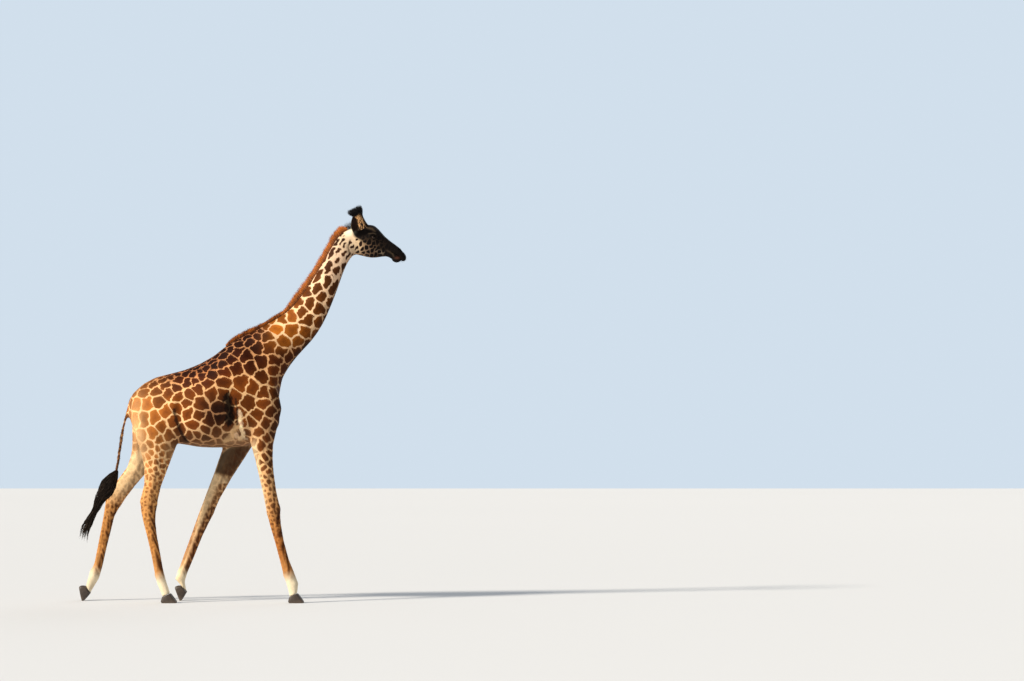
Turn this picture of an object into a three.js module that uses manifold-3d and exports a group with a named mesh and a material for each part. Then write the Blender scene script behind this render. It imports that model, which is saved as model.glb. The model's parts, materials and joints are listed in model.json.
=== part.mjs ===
import * as THREE from 'three';
import { mergeVertices } from 'three/addons/utils/BufferGeometryUtils.js';
import Module from 'manifold-3d';

// Life-size model of a Masai giraffe cow, walking to +X with her head level.
// Millimetres, +Z up, +Y her left side, origin on the floor below the middle of her box.
// Every limb is a run of stations. A station is
//   [upperX, upperZ, underX, underZ, half, lateral]
// the upper (on a leg the rear) and the under (on a leg the front) point of one ring,
// half the ring's width in Y, and the Y of its middle.

const GAP = 0.4;
const EYE = { x: 1346, y: 97, z: 3702, radius: 21 };
const BROW = { x: 1338, y: 74, z: 3716, radii: [62, 44, 44] };
const OSSICONE = { base: [1262, 58, 3798], lean: -0.36, splay: 0.1, length: 164, foot: 44, top: 30 };
const EAR = { base: [1160, 80, 3752], length: 222, half: 35, depth: 17, out: 0.62, lean: -0.07 };
const HOOF = { length: 165, wall: 98, back: 66, heel: 62, half: 33, cleft: 6 };
const FOOT = {
  fore_right: { toe: 662, lateral: -205, pitch: 0 },
  fore_left: { toe: -640, lateral: 225, pitch: 1.2 },
  hind_right: { toe: -622, lateral: -205, pitch: 0 },
  hind_left: { toe: -1640, lateral: 205, pitch: 1.36 },
};
const TOE_TRIM = 9;

const COAT_TAN = '#c58a55';
const COAT_BROWN = '#7a4422';
const COAT_CREAM = '#e6cfa4';
const DARK_FACE = '#3a2a20';
const MANE_RUST = '#a55f2a';
const HAIR_BLACK = '#191412';
const HORN_GREY = '#4a3b30';
const EYE_DARK = '#140d08';

const TRUNK = [
  [-1146, 2050, -1126, 1830, 92],
  [-1096, 2132, -1076, 1706, 170],
  [-1000, 2222, -974, 1628, 232],
  [-876, 2288, -862, 1612, 272],
  [-729, 2324, -729, 1610, 298],
  [-576, 2364, -586, 1594, 326],
  [-423, 2426, -433, 1566, 350],
  [-280, 2507, -291, 1559, 354],
  [-158, 2608, -138, 1562, 335],
  [-30, 2680, 36, 1572, 298],
  [107, 2690, 196, 1604, 258],
  [240, 2560, 320, 1672, 222],
  [352, 2330, 392, 1800, 150],
];

const NECK = [
  [-168, 2560, 250, 1820, 225],
  [-70, 2664, 384, 2046, 205],
  [117, 2757, 424, 2268, 170],
  [291, 2854, 576, 2492, 143],
  [454, 2951, 719, 2650, 122],
  [566, 3068, 831, 2818, 111],
  [673, 3216, 918, 3012, 103],
  [765, 3359, 984, 3185, 97],
  [841, 3486, 1035, 3333, 94],
  [918, 3624, 1081, 3440, 92],
  [1015, 3757, 1137, 3522, 90],
  [1150, 3826, 1205, 3540, 84],
];

const HEAD = [
  [1117, 3790, 1137, 3624, 52],
  [1168, 3838, 1178, 3530, 80],
  [1229, 3850, 1224, 3522, 98],
  [1290, 3843, 1275, 3512, 106],
  [1352, 3833, 1321, 3506, 104],
  [1408, 3785, 1372, 3507, 88],
  [1464, 3722, 1423, 3513, 73],
  [1519, 3675, 1474, 3516, 63],
  [1571, 3637, 1520, 3506, 57],
  [1623, 3597, 1566, 3490, 57],
  [1656, 3550, 1610, 3482, 51],
  [1676, 3506, 1650, 3474, 30],
];

const FORE_RIGHT = [
  [40, 2330, 330, 2350, 70, -125],
  [4, 2102, 404, 2112, 100, -148],
  [24, 1899, 438, 1960, 108, -152],
  [65, 1727, 389, 1767, 98, -158],
  [115, 1575, 346, 1595, 82, -166],
  [154, 1443, 342, 1473, 69, -174],
  [190, 1291, 351, 1332, 59, -182],
  [238, 1089, 379, 1139, 52, -190],
  [272, 916, 419, 957, 53, -196],
  [308, 775, 428, 805, 42, -200],
  [363, 592, 460, 623, 38, -202],
  [412, 410, 510, 440, 41, -204],
  [444, 288, 560, 319, 49, -205],
  [482, 170, 606, 200, 52, -205],
];

const FORE_LEFT = [
  [10, 2330, 300, 2350, 70, 125],
  [-60, 2102, 380, 2122, 100, 148],
  [-86, 1902, 300, 1870, 106, 152],
  [-150, 1727, 170, 1680, 96, 160],
  [-212, 1571, 48, 1491, 80, 168],
  [-294, 1323, -106, 1255, 62, 182],
  [-377, 1104, -230, 1039, 53, 194],
  [-460, 885, -322, 833, 53, 206],
  [-522, 710, -404, 669, 42, 214],
  [-597, 505, -486, 464, 38, 220],
  [-666, 310, -566, 274, 46, 224],
  [-701, 222, -590, 190, 51, 225],
];

const HIND_RIGHT = [
  [-1090, 2130, -700, 2160, 80, -130],
  [-1112, 1960, -640, 2020, 112, -146],
  [-1090, 1800, -596, 1850, 118, -154],
  [-1065, 1666, -594, 1747, 108, -160],
  [-1009, 1514, -629, 1575, 88, -172],
  [-969, 1362, -715, 1362, 68, -184],
  [-969, 1190, -786, 1170, 54, -194],
  [-1004, 1048, -817, 1028, 50, -200],
  [-999, 937, -834, 916, 46, -203],
  [-974, 815, -839, 825, 41, -204],
  [-931, 651, -822, 673, 38, -205],
  [-891, 481, -791, 511, 38, -205],
  [-857, 309, -760, 339, 46, -205],
  [-832, 196, -730, 226, 51, -205],
];

const HIND_LEFT = [
  [-1120, 2130, -760, 2160, 80, 130],
  [-1140, 1960, -700, 2020, 112, 146],
  [-1142, 1800, -690, 1840, 118, 154],
  [-1141, 1650, -750, 1640, 106, 162],
  [-1150, 1500, -850, 1470, 86, 174],
  [-1190, 1370, -980, 1310, 68, 184],
  [-1290, 1235, -1100, 1170, 55, 192],
  [-1385, 1120, -1195, 1045, 51, 198],
  [-1413, 1019, -1264, 945, 49, 201],
  [-1430, 896, -1312, 855, 43, 203],
  [-1459, 731, -1346, 711, 39, 204],
  [-1490, 567, -1387, 547, 38, 205],
  [-1526, 382, -1428, 362, 43, 205],
  [-1577, 276, -1466, 226, 51, 205],
];

const TAIL = [
  [-1100, 2100, -1060, 2040, 36],
  [-1146, 2080, -1096, 1996, 30],
  [-1178, 1960, -1132, 1930, 23],
  [-1222, 1768, -1184, 1754, 17],
  [-1246, 1594, -1216, 1588, 13],
  [-1266, 1430, -1240, 1426, 12],
  [-1290, 1310, -1262, 1302, 14],
];

const TAIL_TUFT = [
  [-1294, 1308, -1260, 1300, 18],
  [-1372, 1262, -1274, 1212, 36],
  [-1432, 1180, -1312, 1116, 44],
  [-1482, 1070, -1404, 1018, 40],
  [-1530, 950, -1462, 900, 36],
  [-1590, 850, -1518, 800, 31],
  [-1648, 740, -1588, 706, 24],
  [-1684, 640, -1642, 612, 10],
];

const OSSICONE_TUFT = [
  [1166, 3957, 1222, 3953, 22],
  [1104, 3970, 1239, 3966, 28],
  [1127, 3992, 1241, 3990, 36],
  [1150, 4014, 1239, 4012, 33],
  [1178, 4032, 1228, 4031, 20],
];

const MANE = [
  [1060, 3860, 1072, 3800, 20],
  [985, 3838, 1040, 3740, 22],
  [902, 3730, 965, 3650, 22],
  [836, 3604, 905, 3550, 22],
  [760, 3486, 828, 3430, 23],
  [706, 3372, 772, 3312, 24],
  [614, 3250, 676, 3170, 24],
  [510, 3106, 560, 3022, 25],
  [434, 2984, 458, 2900, 26],
  [330, 2920, 340, 2830, 26],
  [226, 2848, 236, 2760, 26],
  [110, 2806, 116, 2716, 25],
  [-58, 2722, -50, 2640, 24],
  [-160, 2640, -150, 2560, 18],
];

// Cuts between the lengths of a limb: a point of the plane and the way along the limb, in X and Z.
const BODY_CUTS = [
  { x: 150, z: 2330, along: [0.7, 0.71] },
  { x: 560, z: 2770, along: [0.66, 0.75] },
  { x: 860, z: 3200, along: [0.52, 0.85] },
  { x: 1112, z: 3700, along: [0.99, 0.1] },
  { x: 1452, z: 3610, along: [0.9, -0.42] },
];
const LEG_CUTS = {
  fore_right: [{ x: 250, z: 1560 }, { x: 350, z: 950 }, { x: 500, z: 300 }],
  fore_left: [{ x: -80, z: 1530 }, { x: -390, z: 860 }, { x: -620, z: 290 }],
  hind_right: [{ x: -840, z: 1480 }, { x: -900, z: 990 }, { x: -800, z: 290 }],
  hind_left: [{ x: -1050, z: 1450 }, { x: -1310, z: 1030 }, { x: -1500, z: 300 }],
};
const LEG_PARTS = {
  fore: ['shoulder', 'forearm', 'cannon', 'pastern'],
  hind: ['thigh', 'gaskin', 'cannon', 'pastern'],
};
// A leg's block runs outward from inner, below top, and past edge in X; under the belly it runs past divide.
const BELLY = 1548;
const LEG_BLOCKS = {
  fore_right: { edge: 10, divide: -300, reach: 1700, inner: 62, top: 2060 },
  fore_left: { edge: -150, divide: -780, reach: 1700, inner: 62, top: 2060 },
  hind_right: { edge: -618, divide: -300, reach: -1900, inner: 30, top: 1985 },
  hind_left: { edge: -668, divide: -780, reach: -1900, inner: 30, top: 1985 },
};
const LEG_REACH = 500;
const TAIL_CUT = { x: -1215, z: 1720, along: [-0.2, -0.98] };
const MANE_CUT = { x: 640, z: 3170, along: [-0.7, -0.71] };

const wasm = await Module();
wasm.setup();

function solidOf(geometry) {
  geometry.deleteAttribute('normal');
  geometry.deleteAttribute('uv');
  const merged = mergeVertices(geometry);
  return new wasm.Manifold(new wasm.Mesh({
    numProp: 3,
    vertProperties: new Float32Array(merged.attributes.position.array),
    triVerts: new Uint32Array(merged.index.array),
  }));
}

function biggest(solid) {
  const bodies = solid.decompose();
  return bodies.reduce((best, body) => (body.volume() > best.volume() ? body : best));
}

function meshOf(solid, name, color, roughness) {
  const { vertProperties, triVerts } = biggest(solid).getMesh();
  const geometry = new THREE.BufferGeometry();
  geometry.setAttribute('position', new THREE.BufferAttribute(vertProperties, 3));
  geometry.setIndex(new THREE.BufferAttribute(triVerts, 1));
  const mesh = new THREE.Mesh(geometry, new THREE.MeshStandardMaterial({ color, roughness, metalness: 0 }));
  mesh.name = name;
  return mesh;
}

// A signed power squares off a circle's sine or cosine into a superellipse.
function squared(value, squareness) {
  return Math.sign(value) * Math.abs(value) ** (2 / squareness);
}

// The stations become rings on two smooth curves, closed by a low dome at each end.
// taper narrows the upper side of the rings, and grow swells them for a clearance cut.
function limb(stations, { sides = 12, steps = 2, squareness = 2.2, taper = 0, dome = 6, grow = 0 } = {}) {
  const upper = new THREE.CatmullRomCurve3(stations.map(([x, z, , , half]) => new THREE.Vector3(x, half, z)));
  const under = new THREE.CatmullRomCurve3(
    stations.map(([, , x, z, , lateral = 0]) => new THREE.Vector3(x, lateral, z)),
  );
  const ringCount = steps * (stations.length - 1) + 1;
  const points = [];
  const centres = [];
  for (let ring = 0; ring < ringCount; ring += 1) {
    const along = ring / (ringCount - 1);
    const top = upper.getPoint(along);
    const bottom = under.getPoint(along);
    const half = top.y + grow;
    const centre = new THREE.Vector3((top.x + bottom.x) / 2, bottom.y, (top.z + bottom.z) / 2);
    const rise = new THREE.Vector3((top.x - bottom.x) / 2, 0, (top.z - bottom.z) / 2);
    rise.setLength(rise.length() + grow);
    centres.push(centre);
    for (let side = 0; side < sides; side += 1) {
      const angle = (2 * Math.PI * side) / sides;
      const up = squared(Math.sin(angle), squareness);
      const out = squared(Math.cos(angle), squareness) * (1 - taper * up);
      points.push(centre.clone().addScaledVector(rise, up).add(new THREE.Vector3(0, half * out, 0)));
    }
  }
  const faces = [];
  for (let ring = 0; ring < ringCount - 1; ring += 1) {
    for (let side = 0; side < sides; side += 1) {
      const next = (side + 1) % sides;
      const [a, b] = [ring * sides + side, ring * sides + next];
      faces.push(a, b, a + sides, b, b + sides, a + sides);
    }
  }
  const ends = [[0, 1], [ringCount - 1, ringCount - 2]];
  ends.forEach(([last, inner]) => {
    const outward = centres[last].clone().sub(centres[inner]).setLength(dome + grow);
    points.push(centres[last].clone().add(outward));
    for (let side = 0; side < sides; side += 1) {
      const [a, b] = [last * sides + side, last * sides + ((side + 1) % sides)];
      faces.push(...(last === 0 ? [b, a, points.length - 1] : [a, b, points.length - 1]));
    }
  });
  const geometry = new THREE.BufferGeometry().setFromPoints(points);
  geometry.setIndex(faces);
  const solid = solidOf(geometry);
  if (solid.volume() > 0) {
    return solid;
  }
  geometry.setIndex([...faces].reverse());
  return solidOf(geometry);
}

function ellipsoid([x, y, z], [rx, ry, rz], columns = 10, rows = 6) {
  const geometry = new THREE.SphereGeometry(1, columns, rows);
  geometry.scale(rx, ry, rz);
  geometry.translate(x, y, z);
  return solidOf(geometry);
}

function block(x, y, z, grow = 0) {
  const spans = [x, y, z].map(([from, to]) => Math.abs(to - from) + 2 * grow);
  const geometry = new THREE.BoxGeometry(...spans);
  geometry.translate(...[x, y, z].map(([from, to]) => (from + to) / 2));
  return solidOf(geometry);
}

function legBlock(name, grow = 0) {
  const { edge, divide, reach, inner, top } = LEG_BLOCKS[name];
  const side = name.endsWith('left') ? 1 : -1;
  const upper = block([edge, reach], [side * inner, side * LEG_REACH], [BELLY - 50, top], grow);
  const lower = block([divide, reach], [side * 10, side * LEG_REACH], [-50, BELLY], grow);
  return upper.add(lower);
}

// Parts a solid by planes, in order along it, with half the gap taken from each side.
function slice(solid, cuts) {
  const pieces = [];
  let rest = solid;
  cuts.forEach(({ x, z, along = [0, -1] }) => {
    const [nx, nz] = along;
    const offset = (x * nx + z * nz) / Math.hypot(nx, nz);
    pieces.push(rest.trimByPlane([-nx, 0, -nz], GAP / 2 - offset));
    rest = rest.trimByPlane([nx, 0, nz], offset + GAP / 2);
  });
  return [...pieces, rest];
}

// A foot's own frame has its toe tip at 0 and its sole on z = 0; pitch lifts the heel.
function footPoint({ toe, pitch }, x, z) {
  const sink = pitch > 0 ? TOE_TRIM : 0;
  return [
    toe + x * Math.cos(pitch) + z * Math.sin(pitch),
    -x * Math.sin(pitch) + z * Math.cos(pitch) - sink,
  ];
}

// The last ring of a leg lies on the hoof's upper rim, a gap above it.
function coronet(foot, lift) {
  const rear = footPoint(foot, HOOF.heel - HOOF.length - 47, HOOF.heel + lift);
  const front = footPoint(foot, -HOOF.back, HOOF.wall + lift);
  return [...rear, ...front, 2 * HOOF.half - 6, foot.lateral];
}

function claw(foot, side) {
  const middle = foot.lateral + side * (HOOF.half + HOOF.cleft / 2);
  const levels = [
    { rear: -0.93, front: -0.03, low: 0, high: 0, half: 0.9 },
    { rear: -1, front: -0.01, low: 0.14, high: 0.14, half: 1 },
    { rear: -0.97, front: -0.17, low: 0.36, high: 0.52, half: 0.97 },
    { rear: -0.91, front: -HOOF.back / HOOF.length, low: HOOF.heel / HOOF.wall, high: 1, half: 0.84 },
  ];
  const stations = levels.map(({ rear, front, low, high, half }) => [
    ...footPoint(foot, rear * HOOF.length, low * HOOF.wall),
    ...footPoint(foot, front * HOOF.length, high * HOOF.wall),
    half * HOOF.half,
    middle,
  ]);
  const solid = limb(stations, { sides: 10, steps: 1, squareness: 2.5, dome: 0 });
  return solid.trimByPlane([0, 0, 1], 0);
}

function leg(stations, foot) {
  return limb([...stations, coronet(foot, GAP)], { steps: 1, dome: 0 });
}

// Ears stand outward and a little back, cupped toward the front.
function ear(side) {
  const [x, y, z] = EAR.base;
  const widths = [0.42, 0.78, 1, 0.98, 0.72, 0.16];
  const stations = widths.map((width, index) => {
    const along = (index / (widths.length - 1)) * EAR.length;
    const level = z + along * Math.cos(EAR.out);
    const middle = x + along * EAR.lean;
    const lateral = side * (y + along * Math.sin(EAR.out));
    return [middle - width * EAR.half, level, middle + width * EAR.half, level, width * EAR.depth, lateral];
  });
  const cupX = x + EAR.half * 0.55;
  const cupY = side * (y + EAR.length * 0.52 * Math.sin(EAR.out));
  const cupZ = z + EAR.length * 0.52 * Math.cos(EAR.out);
  const cup = ellipsoid([0, 0, 0], [EAR.half * 0.8, EAR.depth * 0.72, EAR.length * 0.36]);
  const turned = cup.rotate([(-side * EAR.out * 180) / Math.PI, 0, 0]).translate([cupX, cupY, cupZ]);
  return limb(stations, { sides: 10, steps: 1, dome: 3 }).subtract(turned);
}

// An ossicone leans back and a little outward; its hair cap starts a gap above its tip.
function ossicone(side) {
  const [x, y, z] = OSSICONE.base;
  const stations = [0, 0.33, 0.66, 1].map((share) => {
    const along = share * OSSICONE.length;
    const width = THREE.MathUtils.lerp(OSSICONE.foot, OSSICONE.top, Math.sqrt(share));
    const middle = x + along * Math.sin(OSSICONE.lean);
    const level = z + along * Math.cos(OSSICONE.lean);
    const lateral = side * (y + along * Math.sin(OSSICONE.splay));
    return [middle - width, level, middle + width, level, width * 0.8, lateral];
  });
  return limb(stations, { sides: 10, steps: 1, dome: 0 });
}

function ossiconeTuft(side) {
  const lateral = OSSICONE.base[1] + OSSICONE.length * Math.sin(OSSICONE.splay);
  const stations = OSSICONE_TUFT.map((station) => [...station, side * lateral]);
  return limb(stations, { sides: 10, steps: 1, dome: 5 });
}

const TRUNK_SHAPE = { sides: 24, steps: 1, squareness: 2.35, taper: 0.16, dome: 20 };
const NECK_SHAPE = { sides: 16, squareness: 2.15, taper: 0.12 };
const HEAD_SHAPE = { sides: 18, steps: 1, squareness: 2.35, taper: -0.2, dome: 8 };
const MANE_SHAPE = { sides: 6, steps: 1, taper: 0.45, dome: 4 };
const TAIL_SHAPE = { sides: 8, steps: 1, dome: 2 };

// The body is one union: trunk, neck, head with its brows and lips, and four legs.
function torso(grow) {
  const trunk = limb(TRUNK, { ...TRUNK_SHAPE, grow });
  const neck = limb(NECK, { ...NECK_SHAPE, grow });
  const head = limb(HEAD, { ...HEAD_SHAPE, grow });
  return trunk.add(neck).add(head);
}

function browRidges() {
  const { x, y, z, radii } = BROW;
  return ellipsoid([x, -y, z], radii).add(ellipsoid([x, y, z], radii));
}

const lowerLip = ellipsoid([1584, 0, 3490], [46, 40, 26]);
const upperLip = ellipsoid([1640, 0, 3508], [42, 47, 34]);
const eyeSockets = [-1, 1].map((side) => {
  const reach = EYE.radius + GAP;
  return ellipsoid([EYE.x, side * EYE.y, EYE.z], [reach, reach, reach], 12, 8);
});

const legStations = {
  fore_right: FORE_RIGHT,
  fore_left: FORE_LEFT,
  hind_right: HIND_RIGHT,
  hind_left: HIND_LEFT,
};
const legs = Object.entries(legStations).map(([name, stations]) => leg(stations, FOOT[name]));
let body = legs.reduce((sum, solid) => sum.add(solid), torso(0));
body = [browRidges(), lowerLip, upperLip].reduce((sum, solid) => sum.add(solid), body);
body = eyeSockets.reduce((rest, socket) => rest.subtract(socket), body);

const giraffe = new THREE.Group();
const place = (solid, name, color, roughness = 0.85) => giraffe.add(meshOf(solid, name, color, roughness));

// Legs come away from the body by blocks, then part into their lengths, with two claws each.
Object.keys(legStations).forEach((name) => {
  const whole = biggest(body.intersect(legBlock(name)));
  body = body.subtract(legBlock(name, GAP));
  const [pair] = name.split('_');
  const side = name.endsWith('left') ? 1 : -1;
  const colors = [COAT_BROWN, COAT_TAN, COAT_TAN, COAT_CREAM];
  slice(whole, LEG_CUTS[name]).forEach((piece, index) => {
    place(piece, `${name}_${LEG_PARTS[pair][index]}`, colors[index]);
  });
  place(claw(FOOT[name], side), `${name}_hoof_outer`, HORN_GREY, 0.5);
  place(claw(FOOT[name], -side), `${name}_hoof_inner`, HORN_GREY, 0.5);
});

const bodyParts = [
  ['trunk', COAT_BROWN],
  ['neck_base', COAT_BROWN],
  ['neck_middle', COAT_BROWN],
  ['neck_top', COAT_TAN],
  ['head', DARK_FACE],
  ['muzzle', DARK_FACE],
];
slice(body, BODY_CUTS).forEach((piece, index) => place(piece, ...bodyParts[index]));

// What grows from the body is trimmed by a slightly swollen copy of it.
const clearance = torso(GAP).add(browRidges());
const tail = limb(TAIL, TAIL_SHAPE).subtract(clearance);
const [tailRoot, tailEnd] = slice(tail, [TAIL_CUT]);
place(tailRoot, 'tail_root', COAT_TAN);
place(tailEnd, 'tail_end', COAT_BROWN);
const tuft = limb(TAIL_TUFT, { sides: 10, steps: 1, dome: 8 }).subtract(limb(TAIL, { ...TAIL_SHAPE, grow: GAP }));
place(tuft, 'tail_tuft', HAIR_BLACK);

const [maneUpper, maneLower] = slice(limb(MANE, MANE_SHAPE).subtract(clearance), [MANE_CUT]);
place(maneUpper, 'mane_upper', MANE_RUST);
place(maneLower, 'mane_lower', MANE_RUST);

[['right', -1], ['left', 1]].forEach(([sideName, side]) => {
  const { x, y, z, radius } = EYE;
  place(ellipsoid([x, side * y, z], [radius, radius, radius], 12, 8), `eye_${sideName}`, EYE_DARK, 0.15);
  place(ossicone(side).subtract(clearance), `ossicone_${sideName}`, COAT_TAN);
  place(ossiconeTuft(side), `ossicone_tuft_${sideName}`, HAIR_BLACK);
  place(ear(side).subtract(clearance), `ear_${sideName}`, DARK_FACE);
});

export default giraffe;
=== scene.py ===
import json
import math

import bmesh
import bpy
import numpy as np
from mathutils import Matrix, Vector
from mathutils.bvhtree import BVHTree
from mathutils.kdtree import KDTree

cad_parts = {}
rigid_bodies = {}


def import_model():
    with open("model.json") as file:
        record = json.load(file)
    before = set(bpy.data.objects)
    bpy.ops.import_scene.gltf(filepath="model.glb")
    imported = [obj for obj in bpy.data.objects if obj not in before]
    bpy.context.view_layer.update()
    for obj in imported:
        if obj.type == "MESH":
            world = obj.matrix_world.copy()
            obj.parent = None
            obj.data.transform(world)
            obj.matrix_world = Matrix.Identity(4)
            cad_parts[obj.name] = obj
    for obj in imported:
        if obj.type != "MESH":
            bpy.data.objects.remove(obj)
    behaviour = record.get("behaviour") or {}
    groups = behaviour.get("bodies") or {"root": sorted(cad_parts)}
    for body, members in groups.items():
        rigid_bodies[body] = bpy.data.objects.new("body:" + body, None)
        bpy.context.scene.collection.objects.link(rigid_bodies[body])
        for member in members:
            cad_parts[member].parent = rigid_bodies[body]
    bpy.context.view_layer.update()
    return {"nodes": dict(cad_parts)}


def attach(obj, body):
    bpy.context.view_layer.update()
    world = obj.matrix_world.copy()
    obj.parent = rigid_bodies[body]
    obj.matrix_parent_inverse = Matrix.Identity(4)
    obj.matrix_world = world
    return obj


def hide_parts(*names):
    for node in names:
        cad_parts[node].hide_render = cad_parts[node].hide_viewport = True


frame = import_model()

scene = bpy.context.scene

# ---------------------------------------------------------------- camera, floor and light
# She is seen from her right at 29 m with a long lens, a little below the middle of her height.
# The floor and the wall behind are one pale matt sweep, lit by large soft lamps from behind her.

camera_data = bpy.data.cameras.new("camera")
camera_data.lens = 100.0
camera_data.clip_end = 300.0
camera = bpy.data.objects.new("camera", camera_data)
camera.location = (2.759, -29.0, 1.706)
camera.rotation_euler = (math.radians(90.0 + 1.88), 0.0, 0.0)
scene.collection.objects.link(camera)
scene.camera = camera


def new_material(name):
    """A material with its Principled shader, ready for nodes."""
    made = bpy.data.materials.new(name)
    made.use_nodes = True
    return made, made.node_tree, made.node_tree.nodes["Principled BSDF"]


def fit(tree, made, numbered=(), **settings):
    """Give a node its settings and inputs by name or number, each a value or another node and its output."""
    for key, value in [*settings.items(), *dict(numbered).items()]:
        if isinstance(key, str) and hasattr(made, key):
            setattr(made, key, value)
            continue
        socket = made.inputs[key.replace("_", " ") if isinstance(key, str) else key]
        if isinstance(value, tuple) and isinstance(value[0], bpy.types.Node):
            tree.links.new(value[0].outputs[value[1]], socket)
        else:
            socket.default_value = value
    return made


def node(tree, kind, numbered=(), **settings):
    """A new node of this kind, fitted."""
    return fit(tree, tree.nodes.new(kind), numbered, **settings)


def ranged(tree, source, given, wanted=(0.0, 1.0)):
    """A source's values, drawn from the given range over the wanted one."""
    ends = {"From_Min": given[0], "From_Max": given[1], "To_Min": wanted[0], "To_Max": wanted[1]}
    return node(tree, "ShaderNodeMapRange", Value=source, **ends), "Result"


def mesh_object(name, points, faces):
    """A mesh from arrays of points and of triangles or quads, linked to the scene."""
    mesh = bpy.data.meshes.new(name)
    sides = len(faces[0])
    mesh.vertices.add(len(points))
    mesh.vertices.foreach_set("co", np.asarray(points, dtype=np.float32).ravel())
    mesh.loops.add(len(faces) * sides)
    mesh.loops.foreach_set("vertex_index", np.asarray(faces, dtype=np.int32).ravel())
    mesh.polygons.add(len(faces))
    mesh.polygons.foreach_set("loop_start", np.arange(len(faces), dtype=np.int32) * sides)
    mesh.update(calc_edges=True)
    made = bpy.data.objects.new(name, mesh)
    scene.collection.objects.link(made)
    return made


FLOOR_HALF = 60.0
floor = mesh_object(
    "floor",
    [(x * FLOOR_HALF, y * FLOOR_HALF, 0) for x, y in ((-1, -1), (1, -1), (1, 1), (-1, 1))],
    [(0, 1, 2, 3)],
)
floor_material, tree, shader = new_material("pale_floor")
grain = node(tree, "ShaderNodeTexNoise", Scale=3.0, Detail=6.0)
shade = ranged(tree, (grain, "Fac"), (0.0, 1.0), (0.66, 0.70))
grey = node(tree, "ShaderNodeCombineColor", {channel: shade for channel in range(3)})
fit(tree, shader, Base_Color=(grey, "Color"), Roughness=0.9)
floor.data.materials.append(floor_material)

world = bpy.data.worlds.new("studio")
world.use_nodes = True
tree = world.node_tree
sky = fit(tree, tree.nodes["Background"], Color=(0.80, 0.87, 0.95, 1.0), Strength=0.46)
wall = node(tree, "ShaderNodeBackground", Color=(0.76, 0.88, 1.0, 1.0), Strength=0.84)
seen = node(tree, "ShaderNodeLightPath")
screens = {1: (sky, "Background"), 2: (wall, "Background")}
choice = node(tree, "ShaderNodeMixShader", screens, Fac=(seen, "Is Camera Ray"))
fit(tree, tree.nodes["World Output"], Surface=(choice, "Shader"))
scene.world = world


def soft_sun(name, place, spread, power, color):
    """A broad soft light shining from this side towards the middle of the floor."""
    data = bpy.data.lights.new(name, "SUN")
    data.angle = math.radians(spread)
    data.energy = power
    data.color = color
    lamp = bpy.data.objects.new(name, data)
    lamp.location = place
    lamp.rotation_euler = (-Vector(place)).to_track_quat("-Z", "Y").to_euler()
    scene.collection.objects.link(lamp)


soft_sun("key", (-9.0, -5.2, 7.2), 8.0, 4.6, (1.0, 0.92, 0.80))
soft_sun("fill", (5.0, 10.0, 6.0), 40.0, 0.6, (0.90, 0.95, 1.0))
scene.view_settings.view_transform = "Standard"

# ---------------------------------------------------------------- skin
# One hide over head, neck, trunk, legs and tail, drawn from the frame's own solids without a seam.
# It is smoothed to the muscle under it, and lies inside the solids by the depth of the short coat.

NOT_FLESH = ("eye_", "ossicone_", "mane_", "tail_tuft", "ear_")
flesh_nodes = [name for name in frame["nodes"] if not name.startswith(NOT_FLESH) and "hoof" not in name]
COAT_DEPTH = 0.004
HIDE_GRID = 0.0085

# The lines down the middle of each limb, from the body outward: the coat lies along them.
LIMBS = {
    "trunk": [(0.22, 0, 2.24), (0.02, 0, 2.12), (-0.29, 0, 2.03), (-0.73, 0, 1.97), (-1.05, 0, 1.93)],
    "neck": [
        (1.08, 0, 3.66), (1.0, 0, 3.53), (0.87, 0, 3.27), (0.70, 0, 2.94), (0.43, 0, 2.67), (0.16, 0, 2.36),
    ],
    "head": [(1.66, 0, 3.50), (1.55, 0, 3.58), (1.40, 0, 3.65), (1.25, 0, 3.69), (1.12, 0, 3.70)],
    "tail": [
        (-1.12, 0, 2.05), (-1.165, 0, 1.93), (-1.205, 0, 1.76), (-1.232, 0, 1.59), (-1.253, 0, 1.43),
        (-1.276, 0, 1.30),
    ],
    "fore_right": [
        (0.235, -0.150, 1.95), (0.23, -0.160, 1.60), (0.27, -0.182, 1.31), (0.346, -0.196, 0.94),
        (0.412, -0.202, 0.607), (0.502, -0.205, 0.303), (0.575, -0.205, 0.05),
    ],
    "fore_left": [
        (0.12, 0.152, 1.90), (-0.05, 0.166, 1.57), (-0.20, 0.182, 1.29), (-0.37, 0.204, 0.90),
        (-0.47, 0.214, 0.67), (-0.61, 0.224, 0.30), (-0.645, 0.225, 0.08),
    ],
    "hind_right": [
        (-0.85, -0.154, 1.85), (-0.83, -0.165, 1.62), (-0.842, -0.184, 1.362), (-0.915, -0.202, 0.98),
        (-0.877, -0.205, 0.66), (-0.808, -0.205, 0.32), (-0.72, -0.205, 0.06),
    ],
    "hind_left": [
        (-0.90, 0.154, 1.85), (-0.96, 0.164, 1.60), (-1.085, 0.184, 1.34), (-1.34, 0.201, 0.98),
        (-1.40, 0.204, 0.72), (-1.48, 0.205, 0.37), (-1.59, 0.205, 0.10),
    ],
}
LIMB_RADIUS = {
    "trunk": 0.36, "neck": 0.13, "head": 0.14, "tail": 0.03,
    "fore_right": 0.085, "fore_left": 0.085, "hind_right": 0.095, "hind_left": 0.095,
}
LIMB_NAMES = list(LIMBS)
HEAD, TAIL = LIMB_NAMES.index("head"), LIMB_NAMES.index("tail")
LEGS = LIMB_NAMES[4:]
HEAD_X, HEAD_Z = 1.09, 3.40


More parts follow.
